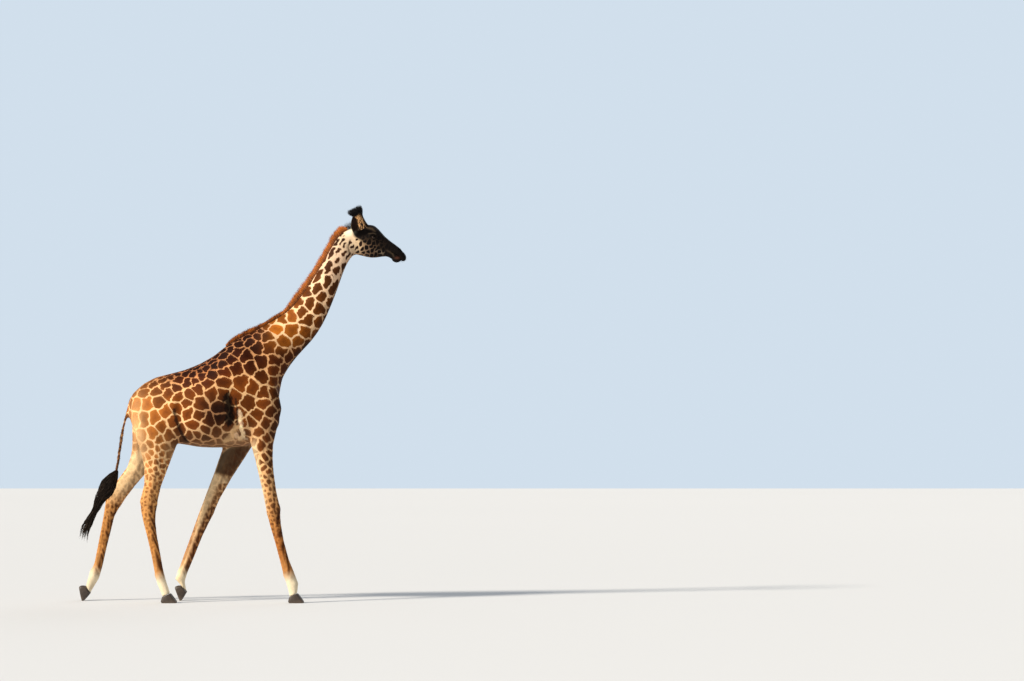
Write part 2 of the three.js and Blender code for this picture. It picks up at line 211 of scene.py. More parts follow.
def along_line(points, line):
    """For each point: its distance from a line, how far along it lies, and the line's heading there."""
    line = np.array(line, dtype=np.float64)
    best = np.full(len(points), 1e9)
    travel = np.zeros(len(points))
    heading = np.zeros((len(points), 3))
    start = 0.0
    for a, b in zip(line[:-1], line[1:]):
        step = b - a
        length = np.linalg.norm(step)
        share = np.clip((points - a) @ step / length**2, 0.0, 1.0)
        distance = np.linalg.norm(points - (a + share[:, None] * step), axis=1)
        near = distance < best
        best[near] = distance[near]
        travel[near] = start + share[near] * length
        heading[near] = step / length
        start += length
    return best, travel, heading


def limb_weights(points):
    """How much each point belongs to each limb, as shares that add up to one."""
    reach = np.stack([along_line(points, LIMBS[name])[0] / LIMB_RADIUS[name] for name in LIMB_NAMES], axis=1)
    share = np.exp(-5.0 * (reach - reach.min(axis=1, keepdims=True)))
    return share / share.sum(axis=1, keepdims=True)


def fade(values, start, width):
    """Nothing at the start, rising to one a width further on; a negative width fades the other way."""
    return np.clip((values - start) / width, 0.0, 1.0)


def unit(vectors, least=0.0):
    """Vectors drawn to length one. The least keeps a vector of no length from dividing by nothing."""
    if vectors.ndim == 1:
        return vectors / np.linalg.norm(vectors)
    return vectors / (np.linalg.norm(vectors, axis=1, keepdims=True) + least)


def on_side(place, side):
    """A place on her left, moved to her right if the side is -1."""
    return np.array(place) * np.array([1.0, side, 1.0])


def on_left(points):
    """The same places with those of her right side mirrored to her left."""
    return np.column_stack([points[:, 0], np.abs(points[:, 1]), points[:, 2]])


def in_profile(points):
    """The same places pressed flat onto her middle."""
    return points * np.array([1.0, 0.0, 1.0])


def bump(points, centre, radii):
    """A soft round swelling: one at its centre, falling away over its radii."""
    return np.exp(-0.5 * (((points - np.array(centre)) / np.array(radii)) ** 2).sum(axis=1))


def ridge(points, line, width):
    """The same along a line."""
    return np.exp(-((along_line(points, line)[0] / width) ** 2))


def swelling(points, place, reach):
    """A ridge if the place is a line of points, and a bump if it is one centre."""
    return (ridge if isinstance(place, list) else bump)(points, place, reach)


def arrays_of(mesh):
    """A mesh's points and the pairs of points that its edges join."""
    points = np.empty(len(mesh.vertices) * 3)
    mesh.vertices.foreach_get("co", points)
    edges = np.empty(len(mesh.edges) * 2, dtype=np.int32)
    mesh.edges.foreach_get("vertices", edges)
    return points.reshape(-1, 3), edges.reshape(-1, 2)


def normals_of(mesh):
    """The skin's outward direction at each point."""
    normals = np.empty(len(mesh.vertices) * 3)
    mesh.vertex_normals.foreach_get("vector", normals)
    return normals.reshape(-1, 3)


def relaxed(points, edges, amount, rounds):
    """Each point drawn towards the middle of its neighbours, by its own amount, over some rounds."""
    count = np.bincount(edges.ravel(), minlength=len(points))[:, None]
    amount = np.asarray(amount).reshape(-1, 1)
    for _ in range(rounds):
        total = np.stack([
            np.bincount(edges[:, 0], points[edges[:, 1], axis], len(points))
            + np.bincount(edges[:, 1], points[edges[:, 0], axis], len(points))
            for axis in range(3)
        ], axis=1)
        points = points + amount * (total / count - points)
    return points


def write_points(mesh, points):
    """Move a mesh's points to these places."""
    mesh.vertices.foreach_set("co", np.asarray(points, dtype=np.float32).ravel())
    mesh.update()


def shade_smooth(mesh):
    """Shade a mesh as one curved surface."""
    mesh.polygons.foreach_set("use_smooth", np.ones(len(mesh.polygons), dtype=bool))


solids = [frame["nodes"][name].data for name in flesh_nodes + ["eye_right", "eye_left"]]
joined = bmesh.new()
for solid in solids:
    joined.from_mesh(solid)
rough_mesh = bpy.data.meshes.new("hide_rough")
joined.to_mesh(rough_mesh)
joined.free()
rough = bpy.data.objects.new("hide_rough", rough_mesh)
scene.collection.objects.link(rough)
grid = rough.modifiers.new("grid", "REMESH")
grid.mode = "VOXEL"
grid.voxel_size = HIDE_GRID
hide_mesh = bpy.data.meshes.new_from_object(rough.evaluated_get(bpy.context.evaluated_depsgraph_get()))
bpy.data.objects.remove(rough)

# The face is divided twice more, so that lids, nostrils and lips have room.
EYE_PLACE = np.array([1.346, 0.097, 3.702])
EYE_RADIUS = 0.021


def divide(mesh, inside):
    """Halve the edges of a mesh that lie wholly inside a region."""
    work = bmesh.new()
    work.from_mesh(mesh)
    chosen = [edge for edge in work.edges if all(inside(vertex.co) for vertex in edge.verts)]
    bmesh.ops.subdivide_edges(work, edges=chosen, cuts=1, use_grid_fill=True)
    work.to_mesh(mesh)
    work.free()


divide(hide_mesh, lambda p: (p.x > HEAD_X and p.z > HEAD_Z) or p.z < 0.10)
divide(hide_mesh, lambda p: p.x > 1.505 or (Vector((p.x, abs(p.y), p.z)) - Vector(EYE_PLACE)).length < 0.07)

points, edges = arrays_of(hide_mesh)
weights = limb_weights(points)
girth = weights @ np.array([0.30, 0.11, 0.075, 0.015, 0.055, 0.055, 0.06, 0.06])
spacing = np.where((points[:, 0] > HEAD_X) & (points[:, 2] > HEAD_Z), 0.5, 1.0)
softness = np.clip((girth / 0.30) ** 1.2, 0.05, 1.0) * spacing
points = relaxed(points, edges, 0.55 * softness, 70)
points = relaxed(points, edges, 0.35, 3)
forehead = bump(points, (1.37, 0.0, 3.83), (0.06, 0.08, 0.04))
points = relaxed(points, edges, 0.6 * forehead, 90) + forehead[:, None] * np.array([0.002, 0.0, 0.005])
write_points(hide_mesh, points)

# Muscle, bone and folds, as swellings along the skin's own normals. Heights are in metres.
# A row: which points, the height, the centre or line, and its radii or half width.
mirrored = on_left(points)
stride = np.where(points[:, 1] < 0, 0.0, 1.0)[:, None]
fore_shift = mirrored + stride * np.array([0.09, 0.0, 0.0])
hind_shift = mirrored + stride * np.array([0.06, 0.0, 0.0])
lift = np.zeros(len(points))
for where, height, place, reach in (
    (fore_shift, 0.016, (0.13, 0.27, 1.93), (0.12, 0.08, 0.19)),
    (fore_shift, -0.026, [(-0.075, 0.34, 2.12), (-0.03, 0.31, 1.86), (0.055, 0.22, 1.60)], 0.036),
    (fore_shift, 0.010, [(0.04, 0.22, 2.52), (0.16, 0.26, 2.28), (0.36, 0.26, 2.02)], 0.05),
    (fore_shift, -0.008, [(0.20, 0.22, 2.50), (0.34, 0.23, 2.20)], 0.04),
    (hind_shift, -0.028, [(-0.60, 0.33, 2.02), (-0.565, 0.30, 1.82), (-0.585, 0.22, 1.62)], 0.04),
    (hind_shift, 0.014, (-0.84, 0.28, 1.96), (0.17, 0.09, 0.2)),
    (hind_shift, 0.012, (-0.70, 0.22, 2.25), (0.07, 0.07, 0.05)),
    (mirrored, 0.010, (-1.08, 0.11, 2.10), (0.05, 0.05, 0.05)),
    (hind_shift, -0.010, [(-0.98, 0.27, 2.05), (-1.02, 0.25, 1.85), (-0.98, 0.22, 1.62)], 0.035),
    (mirrored, -0.006, [(0.45, 0.14, 2.45), (0.75, 0.11, 2.86), (1.0, 0.09, 3.34)], 0.03),
    (mirrored, 0.006, [(0.20, 0.22, 2.40), (0.55, 0.13, 2.80), (0.92, 0.09, 3.45)], 0.04),
):
    lift += height * swelling(where, place, reach)
ribs = np.sin(points[:, 0] * 62.0 + points[:, 2] * 12.0)
lift += 0.0022 * ribs * bump(mirrored, (-0.33, 0.34, 2.02), (0.16, 0.2, 0.2))


def joint_shape(points, knuckles, tendons):
    """Knuckle bumps and the groove between shin bone and tendon on one leg."""
    shape = np.zeros(len(points))
    for centre, radius, height in knuckles:
        shape += height * bump(points, centre, (radius, radius, radius))
    for line in tendons:
        for side in (-1, 1):
            offset = [(x, y + side * 0.036, z) for x, y, z in line]
            shape -= 0.0065 * ridge(points, offset, 0.011)
    return shape


for knuckles, tendons in (
    (
        [((0.405, -0.196, 0.955), 0.03, 0.006), ((0.300, -0.197, 0.90), 0.02, 0.006),
         ((0.452, -0.205, 0.27), 0.02, 0.006)],
        [[(0.345, -0.2, 0.82), (0.385, -0.202, 0.62), (0.475, -0.205, 0.34)]],
    ),
    (
        [((-0.325, 0.206, 0.90), 0.03, 0.006), ((-0.655, 0.224, 0.30), 0.02, 0.006)],
        [[(-0.475, 0.21, 0.76), (-0.565, 0.218, 0.50), (-0.632, 0.224, 0.33)]],
    ),
    (
        [((-1.00, -0.2, 1.02), 0.022, 0.007), ((-0.84, -0.2, 0.99), 0.03, 0.004),
         ((-0.845, -0.205, 0.27), 0.02, 0.006)],
        [[(-0.93, -0.203, 0.86), (-0.895, -0.205, 0.66), (-0.835, -0.205, 0.36)],
         [(-0.94, -0.188, 1.30), (-0.955, -0.194, 1.18), (-0.965, -0.199, 1.08)]],
    ),
    (
        [((-1.405, 0.2, 1.06), 0.022, 0.007), ((-1.255, 0.2, 0.98), 0.03, 0.004),
         ((-1.555, 0.205, 0.30), 0.02, 0.006)],
        [[(-1.395, 0.203, 0.88), (-1.425, 0.205, 0.66), (-1.475, 0.205, 0.40)],
         [(-1.20, 0.188, 1.33), (-1.28, 0.194, 1.24), (-1.34, 0.199, 1.16)]],
    ),
):
    lift += joint_shape(points, knuckles, tendons)

# The face: jaw muscle, temple, cheek bone, nose, and the furrows of the mouth and nostrils.
flat = in_profile(points)
MOUTH = [(1.630, 0, 3.466), (1.621, 0, 3.498), (1.588, 0, 3.526), (1.532, 0, 3.556)]
NOSTRIL = [(1.636, 0, 3.560), (1.622, 0, 3.577), (1.602, 0, 3.588)]
for where, height, place, reach in (
    (mirrored, 0.007, (1.225, 0.085, 3.605), (0.042, 0.03, 0.05)),
    (mirrored, -0.006, (1.268, 0.10, 3.745), (0.026, 0.03, 0.022)),
    (mirrored, 0.006, (1.335, 0.112, 3.738), (0.034, 0.018, 0.010)),
    (mirrored, 0.005, [(1.385, 0.10, 3.668), (1.44, 0.076, 3.640), (1.50, 0.06, 3.60)], 0.012),
    (mirrored, -0.005, [(1.40, 0.075, 3.715), (1.50, 0.055, 3.655)], 0.014),
    (mirrored, 0.004, (1.565, 0.055, 3.575), (0.035, 0.02, 0.025)),
    (mirrored, -0.004, [(1.30, 0.085, 3.545), (1.42, 0.07, 3.555)], 0.014),
    (mirrored, -0.006, [(1.112, 0.085, 3.672), (1.092, 0.08, 3.600), (1.112, 0.07, 3.540)], 0.011),
    (flat, -0.008, MOUTH, 0.0042),
    (flat, 0.0025, [(x, y, z + 0.011) for x, y, z in MOUTH], 0.007),
    (points, 0.0070, (1.668, 0.0, 3.544), (0.020, 0.05, 0.016)),
    (points, 0.0100, (1.656, 0.0, 3.480), (0.020, 0.05, 0.016)),
    (points, 0.0060, (1.34, 0.0, 3.500), (0.10, 0.07, 0.022)),
    (points, 0.0130, (1.582, 0.0, 3.468), (0.030, 0.05, 0.018)),
    (points, 0.0110, (1.538, 0.0, 3.505), (0.026, 0.05, 0.022)),
):
    lift += height * swelling(where, place, reach)
beside = fade(mirrored[:, 1], 0.012, 0.014)
lift += beside * (0.0040 * ridge(flat, NOSTRIL, 0.014) - 0.017 * ridge(flat, NOSTRIL, 0.0055))
wrinkles = np.sin(points[:, 0] * 300.0 + points[:, 2] * 90.0 + 9.0 * np.sin(points[:, 2] * 21.0))
lift += 0.0009 * wrinkles * bump(mirrored, (1.135, 0.07, 3.585), (0.03, 0.06, 0.05))

normals = normals_of(hide_mesh)
depth = COAT_DEPTH * (1.0 - 0.5 * weights[:, HEAD])
soles = fade(points[:, 2], 0.05, 0.05)
points = points + normals * ((lift - depth) * soles)[:, None]

# Lids: the skin hugs the eyeball round an almond opening, and turns in behind its rim.
LID = 0.0034
LID_LONG, LID_ABOVE, LID_BELOW = 0.0195, 0.0125, 0.0100


def eye_axes(side):
    """Where an eye looks, the way along its lids to the front, and the way up across them."""
    gaze = unit(np.array([0.22, side * 0.97, 0.03]))
    along = np.array([0.97, 0.0, -0.24])
    along = unit(along - gaze * (along @ gaze))
    upward = np.cross(gaze, along)
    return gaze, along, upward * np.sign(upward[2])


for side in (-1.0, 1.0):
    gaze, along, upward = eye_axes(side)
    centre = on_side(EYE_PLACE, side)
    offset = points - centre
    near = np.linalg.norm(offset, axis=1) < 0.062
    a, b, h = offset[near] @ along, offset[near] @ upward, offset[near] @ gaze
    tall = np.where(b > 0, LID_ABOVE, LID_BELOW)
    ring = np.sqrt((a / LID_LONG) ** 2 + (b / tall) ** 2) + 1e-6
    snap = (ring > 0.90) & (ring < 1.10)
    a = np.where(snap, a / ring, a)
    b = np.where(snap, b / ring, b)
    ring = np.where(snap, 1.0, ring)
    lid = np.sqrt(np.clip((EYE_RADIUS + LID) ** 2 - a**2 - b**2, 0.00003, None))
    hug = 1.0 - fade(ring, 1.7, 1.3)
    hug = hug * hug * (3.0 - 2.0 * hug)
    turned_in = fade(ring, 1.0, -0.10)
    crease = 0.0022 * np.exp(-(((ring - 1.62) / 0.16) ** 2))
    crease -= 0.0018 * np.exp(-(((ring - 2.15) / 0.3) ** 2)) * (b > 0)
    level = h * (1.0 - hug) + lid * hug - crease * (h > 0) - 0.014 * turned_in
    moved = centre + a[:, None] * along + b[:, None] * upward + level[:, None] * gaze
    facing = (h > -0.004)[:, None]
    points[near] = np.where(facing, moved, points[near])
write_points(hide_mesh, points)

# Ears: a cupped leaf each, thin at the rim, grown into the skin at its foot.
EAR_FOOT = np.array([1.166, 0.074, 3.742])
EAR_LENGTH = 0.226
EAR_UP = np.array([-0.120, 0.575, 0.809])
# Half its width, the depth of its cup and its thickness, at shares of the way from foot to tip.
EAR_HALF = [0, 0.12, 0.32, 0.55, 0.75, 0.9, 1.0], [0.019, 0.027, 0.038, 0.041, 0.032, 0.017, 0.004]
EAR_CUP = [0, 0.15, 0.4, 0.7, 1.0], [0.016, 0.017, 0.015, 0.009, 0.002]
EAR_THICK = [0, 0.2, 0.5, 1.0], [0.030, 0.0085, 0.0042, 0.003]
EAR_BOW = 0.020
EAR_ROWS, EAR_COLUMNS = 30, 28


def ear_axes(side):
    """The way up an ear, the way out of its opening, and the way across it."""
    up = on_side(EAR_UP, side)
    opening = np.array([0.50, side * 0.76, -0.30])
    opening = unit(opening - up * (opening @ up))
    return up, opening, np.cross(up, opening)


def ear_places(side, share, reach, back=0.0):
    """Places on an ear: a share of the way up, a reach of -1 to 1 across, and a depth behind its cup."""
    up, opening, across = ear_axes(side)
    cup = np.interp(share, *EAR_CUP)
    ahead = EAR_BOW * share**2 - cup * (1.0 - reach**2) + 0.5 * cup - back
    middle = on_side(EAR_FOOT, side) + np.outer(EAR_LENGTH * share, up) + np.outer(ahead, opening)
    return middle + np.outer(np.interp(share, *EAR_HALF) * reach, across)


def close_up(made, caps=()):
    """Close a mesh with flat caps, each a run of its points, and turn all its faces outward."""
    work = bmesh.new()
    work.from_mesh(made.data)
    work.verts.ensure_lookup_table()
    for cap in caps:
        work.faces.new([work.verts[place] for place in cap])
    bmesh.ops.recalc_face_normals(work, faces=work.faces)
    work.to_mesh(made.data)
    work.free()


def tube(name, places, spokes):
    """A closed tube over rings of points, with a flat cap at each end."""
    last = len(places) - spokes
    faces = [
        (low + spoke, low + after, low + spokes + after, low + spokes + spoke)
        for low in range(0, last, spokes)
        for spoke, after in zip(range(spokes), [*range(1, spokes), 0])
    ]
    made = mesh_object(name, places, faces)
    close_up(made, (range(spokes)[::-1], range(last, last + spokes)))
    return made


def ear_leaf(side):
    """A cupped leaf of skin, thick at its foot and thin at its tip."""
    share = np.repeat(np.linspace(0.0, 1.0, EAR_ROWS), EAR_COLUMNS)
    turn = np.tile(2.0 * math.pi * np.arange(EAR_COLUMNS) / EAR_COLUMNS, EAR_ROWS)
    rear = np.sin(turn)
    back = np.interp(share, *EAR_THICK) * 0.5 * np.where(rear >= 0, 1.0, -1.0) * np.sqrt(np.abs(rear))
    return tube("ear", ear_places(side, share, np.cos(turn), back), EAR_COLUMNS)


hide = bpy.data.objects.new("hide", hide_mesh)
scene.collection.objects.link(hide)
for side in (-1.0, 1.0):
    ear = ear_leaf(side)
    join = hide.modifiers.new("ear", "BOOLEAN")
    join.operation = "UNION"
    join.solver = "MANIFOLD"
    join.object = ear
    with_ear = bpy.data.meshes.new_from_object(hide.evaluated_get(bpy.context.evaluated_depsgraph_get()))
    hide.modifiers.clear()
    hide.data = with_ear
    bpy.data.objects.remove(ear)
hide_mesh = hide.data
hide_mesh.name = "hide"
hide_mesh.materials.clear()
points, edges = arrays_of(hide_mesh)
mirrored = on_left(points)
seam = np.exp(-((np.linalg.norm(mirrored - EAR_FOOT - np.array([0.0, 0.005, 0.010]), axis=1) / 0.022) ** 4))
points = relaxed(points, edges, 0.5 * seam, 12)
write_points(hide_mesh, points)
shade_smooth(hide_mesh)

# Markings: dark blotches grown from seeds, parted by pale lines, as wide apart as each limb has them.
# A row: how far along its limb, blotch size and half a line's width in metres, blotch strength,
# blotch colour, line colour. A trunk row's place is its height over the body's middle, -1 to 1.
MARKINGS = {
    "trunk": [
        # The two lowest rows, under the belly, are darkened as painted shade.
        (-1.05, 0.085, 0.0085, 0.60, (72, 40, 18), (162, 118, 80)),
        (-0.88, 0.092, 0.0088, 0.92, (78, 40, 13), (188, 140, 96)),
        (-0.55, 0.116, 0.0080, 1.0, (118, 60, 17), (250, 200, 144)),
        (0.20, 0.112, 0.0078, 1.0, (124, 63, 15), (250, 198, 140)),
        (0.55, 0.092, 0.0068, 1.0, (86, 36, 6), (238, 176, 118)),
        (0.80, 0.078, 0.0053, 1.0, (48, 16, 3), (186, 120, 72)),
        (1.00, 0.062, 0.0048, 1.0, (36, 11, 2), (154, 94, 58)),
    ],
    "neck": [
        (0.00, 0.040, 0.0095, 1.0, (50, 27, 13), (216, 188, 152)),
        (0.16, 0.054, 0.0104, 1.0, (64, 34, 14), (224, 190, 158)),
        (0.42, 0.080, 0.0090, 1.0, (88, 47, 15), (248, 207, 168)),
        (0.85, 0.114, 0.0092, 1.0, (118, 62, 14), (255, 210, 160)),
        (1.30, 0.122, 0.0092, 1.0, (164, 92, 18), (255, 214, 162)),
        (1.61, 0.118, 0.0086, 1.0, (158, 86, 16), (255, 210, 154)),
    ],
    "head": [
        # The next two rows, muzzle and face: dark hair, deepened as painted shade on the front of the face.
        (0.00, 0.030, 0.0060, 0.4, (18, 11, 8), (44, 30, 22)),
        (0.40, 0.032, 0.0030, 1.0, (14, 8, 5), (50, 35, 26)),
        (0.66, 0.036, 0.0036, 1.0, (18, 10, 7), (124, 98, 76)),
        (0.78, 0.036, 0.0046, 1.0, (26, 15, 8), (164, 134, 102)),
        (0.88, 0.037, 0.0066, 1.0, (40, 22, 10), (222, 190, 150)),
        (1.00, 0.040, 0.0085, 1.0, (50, 28, 12), (218, 190, 158)),
    ],
    "tail": [
        (0.00, 0.050, 0.0070, 1.0, (104, 50, 16), (216, 164, 110)),
        (1.00, 0.035, 0.0060, 0.8, (70, 32, 12), (170, 116, 72)),
    ],
    "fore": [
        (0.00, 0.094, 0.0095, 1.0, (122, 62, 16), (246, 194, 138)),
        (0.20, 0.080, 0.0098, 1.0, (118, 62, 18), (246, 196, 140)),
        (0.31, 0.060, 0.0090, 0.95, (108, 56, 18), (240, 188, 130)),
        (0.44, 0.045, 0.0080, 0.80, (104, 54, 19), (222, 166, 108)),
        (0.58, 0.036, 0.0080, 0.75, (88, 42, 14), (196, 134, 74)),
        (0.72, 0.034, 0.0080, 0.50, (98, 48, 16), (178, 110, 52)),
        (0.850, 0.034, 0.0085, 0.25, (136, 80, 36), (196, 134, 76)),
        (0.905, 0.034, 0.0085, 0.04, (210, 168, 124), (238, 220, 186)),
    ],
    "hind": [
        (0.00, 0.088, 0.0068, 1.0, (178, 108, 42), (252, 208, 154)),
        (0.13, 0.070, 0.0066, 1.0, (180, 112, 46), (254, 210, 156)),
        (0.25, 0.050, 0.0064, 0.95, (164, 97, 40), (248, 200, 142)),
        (0.38, 0.038, 0.0072, 0.75, (132, 72, 28), (228, 168, 104)),
        (0.50, 0.034, 0.0080, 0.70, (96, 46, 15), (216, 153, 88)),
        (0.70, 0.034, 0.0080, 0.45, (118, 60, 22), (204, 139, 73)),
        (0.850, 0.034, 0.0085, 0.20, (146, 86, 40), (204, 144, 84)),
        (0.905, 0.034, 0.0085, 0.04, (210, 168, 124), (238, 220, 186)),
    ],
}
# Places whose colour departs from their limb's, several of them painted shade: centre (left and right alike),
# reach, strength, blotch, line.
COAT_ACCENTS_AND_SHADE = [
    # The next two rows: dark coat deepened by painted shadow in the hollow behind the shoulder.
    ((-0.185, 0.34, 1.93), (0.115, 0.25, 0.130), 0.98, (19, 8, 3), (100, 65, 43)),
    ((-0.27, 0.30, 1.92), (0.09, 0.25, 0.12), 0.78, (40, 16, 6), (170, 120, 80)),
    ((-0.08, 0.22, 1.66), (0.07, 0.15, 0.06), 0.60, (112, 74, 44), (206, 166, 124)),
    # The next row: painted shade in the flank fold before the thigh.
    ((-0.60, 0.20, 1.70), (0.035, 0.14, 0.11), 0.60, (62, 32, 15), (160, 112, 74)),
    ((0.03, 0.10, 2.52), (0.15, 0.30, 0.12), 0.65, (46, 17, 5), (220, 160, 108)),
    ((-0.98, 0.26, 1.92), (0.16, 0.30, 0.26), 0.80, (184, 112, 46), (250, 204, 146)),
    # The next two rows: painted shade on the front of the chest, down to the top of the foreleg.
    ((0.43, 0.10, 2.00), (0.085, 0.25, 0.34), 0.92, (20, 9, 4), (84, 52, 34)),
    ((0.34, 0.20, 1.78), (0.080, 0.25, 0.14), 0.55, (38, 18, 8), (182, 132, 90)),
    # The last two rows: painted shade under the base of the neck and under the throat.
    ((0.62, 0.0, 2.62), (0.10, 0.06, 0.16), 0.65, (34, 14, 6), (150, 104, 70)),
    ((1.11, 0.0, 3.36), (0.08, 0.06, 0.12), 0.60, (34, 16, 8), (190, 150, 116)),
]
NO_BLOTCH = [((-1.03, 0.12, 1.60), (0.06, 0.14, 0.26), 0.9)]
# Ragged-edged streaks in and beside the skin's folds, on both sides, of painted shade and painted light over
# the coat: a line of points, half width, strength, colour.
FOLD_SHADE_AND_LIGHT = [
    # Dark coat under painted shadow in the hollow behind the shoulder.
    ([(-0.115, 0, 2.08), (-0.085, 0, 1.95), (-0.090, 0, 1.83)], 0.055, 0.94, (13, 6, 3)),
    # The next three: cream hair brightened as painted light along the lit rear edge of the shoulder and
    # elbow.
    ([(0.015, 0, 1.93), (0.018, 0, 1.82), (0.035, 0, 1.70), (0.075, 0, 1.60)], 0.026, 0.86, (242, 210, 164)),
    ([(-0.135, 0, 1.635), (-0.065, 0, 1.690), (-0.020, 0, 1.790)], 0.036, 0.58, (208, 168, 118)),
    ([(-0.030, 0, 1.70), (0.010, 0, 1.65), (0.060, 0, 1.59)], 0.028, 0.78, (230, 194, 146)),
    # The last two: painted shade in the flank fold and in the groove behind the shoulder.
    ([(-0.648, 0, 1.95), (-0.620, 0, 1.83), (-0.580, 0, 1.71), (-0.510, 0, 1.60)], 0.021, 0.90, (34, 16, 8)),
    ([(-0.028, 0, 2.06), (-0.012, 0, 1.94), (-0.016, 0, 1.80)], 0.013, 0.80, (18, 8, 4)),
]
# Painted shade down the underside of the neck, from the throat to the chest.
THROAT_SHADE_LINE = [(1.17, 0, 3.50), (1.03, 0, 3.22), (0.86, 0, 2.93), (0.68, 0, 2.68), (0.49, 0, 2.36)]
# The withers carry larger blotches than the rest of the back does.
WITHERS, WITHERS_REACH, WITHERS_GAIN = (0.05, 0.10, 2.50), (0.20, 0.30, 0.17), 0.36
BODY_X = (-1.05, -0.73, -0.29, 0.02, 0.30)
BODY_MIDDLE_Z = (1.93, 1.97, 2.01, 2.06, 2.04)
BACK_RISE = (0.33, 0.36, 0.40, 0.60, 0.75)
BELLY_DROP = 0.40
# Pale hair inside the legs, and the painted shadow of the body on the inner forelegs under the arm.
INNER_LEG, UNDER_ARM_SHADOW = (240, 212, 166), (44, 27, 19)
# The face's dark hair, deepened as painted shade on its top and front.
FACE_DARK_AND_SHADE = (16, 10, 8)
SEEDS_TRIED, SEED_GAP = 26000, 0.46
rng = np.random.default_rng(7)


def linear(color):
    """A colour of 0 to 255 as the shader takes it."""
    share = np.asarray(color, dtype=np.float64) / 255.0
    return np.where(share <= 0.04045, share / 12.92, ((share + 0.055) / 1.055) ** 2.4)


def blended(values, goal, amount):
    """Colours drawn towards others, by an amount for each point."""
    return values + amount[:, None] * (goal - values)


def mixed(values, color, amount):
    """The same towards one colour of 0 to 255."""
    return blended(values, linear(color), amount)


# What is known of the coat at each point: blotch size, half line width, blotch strength, and two colours.
SIZE, GAP, STRENGTH, DARK, PALE = 0, 1, 2, slice(3, 6), slice(6, 9)


def recolor(values, dark, pale, amount):
    """Both of the coat's colours drawn towards two others."""
    values[:, DARK] = mixed(values[:, DARK], dark, amount)
    values[:, PALE] = mixed(values[:, PALE], pale, amount)


def shaded_leg_fronts(points, values, share):
    """Dark streaks down the front of each lower leg: darker hair, with painted shade on the front, which
    faces away from the key lamp.
    """
    x, y, z = points.T
    sway = 2.4 * np.sin(x * 71.0 + z * 15.0) + 2.0 * np.sin(y * 83.0 + z * 9.0)
    streak = np.clip(0.75 + 0.5 * np.sin(z * 37.0 + sway), 0.0, 1.0)
    window = fade(z, 1.04, -0.12) + 0.75 * fade(z, 0.92, 0.12)
    window *= fade(z, 1.95, -0.20) * fade(z, 0.20, 0.14)
    for name in LEGS:
        line = np.array(LIMBS[name])
        ahead = (x - np.interp(z, line[::-1, 2], line[::-1, 0])) / 0.026
        front = np.clip(0.5 + 0.9 * ahead, 0.0, 1.0)
        amount = share[:, LIMB_NAMES.index(name)] * window * streak * (0.16 * (z < 1.0) + 0.88 * front)
        # Painted shade on the front of each leg, over slightly darker hair all round low on the leg.
        values[:, DARK] = mixed(values[:, DARK], (50, 22, 7), amount)
        values[:, PALE] = mixed(values[:, PALE], (74, 35, 12), 0.9 * amount)


def length_of(line):
    """How long a line of points is at each of them."""
    return np.r_[0.0, np.cumsum(np.linalg.norm(np.diff(line, axis=0), axis=1))]


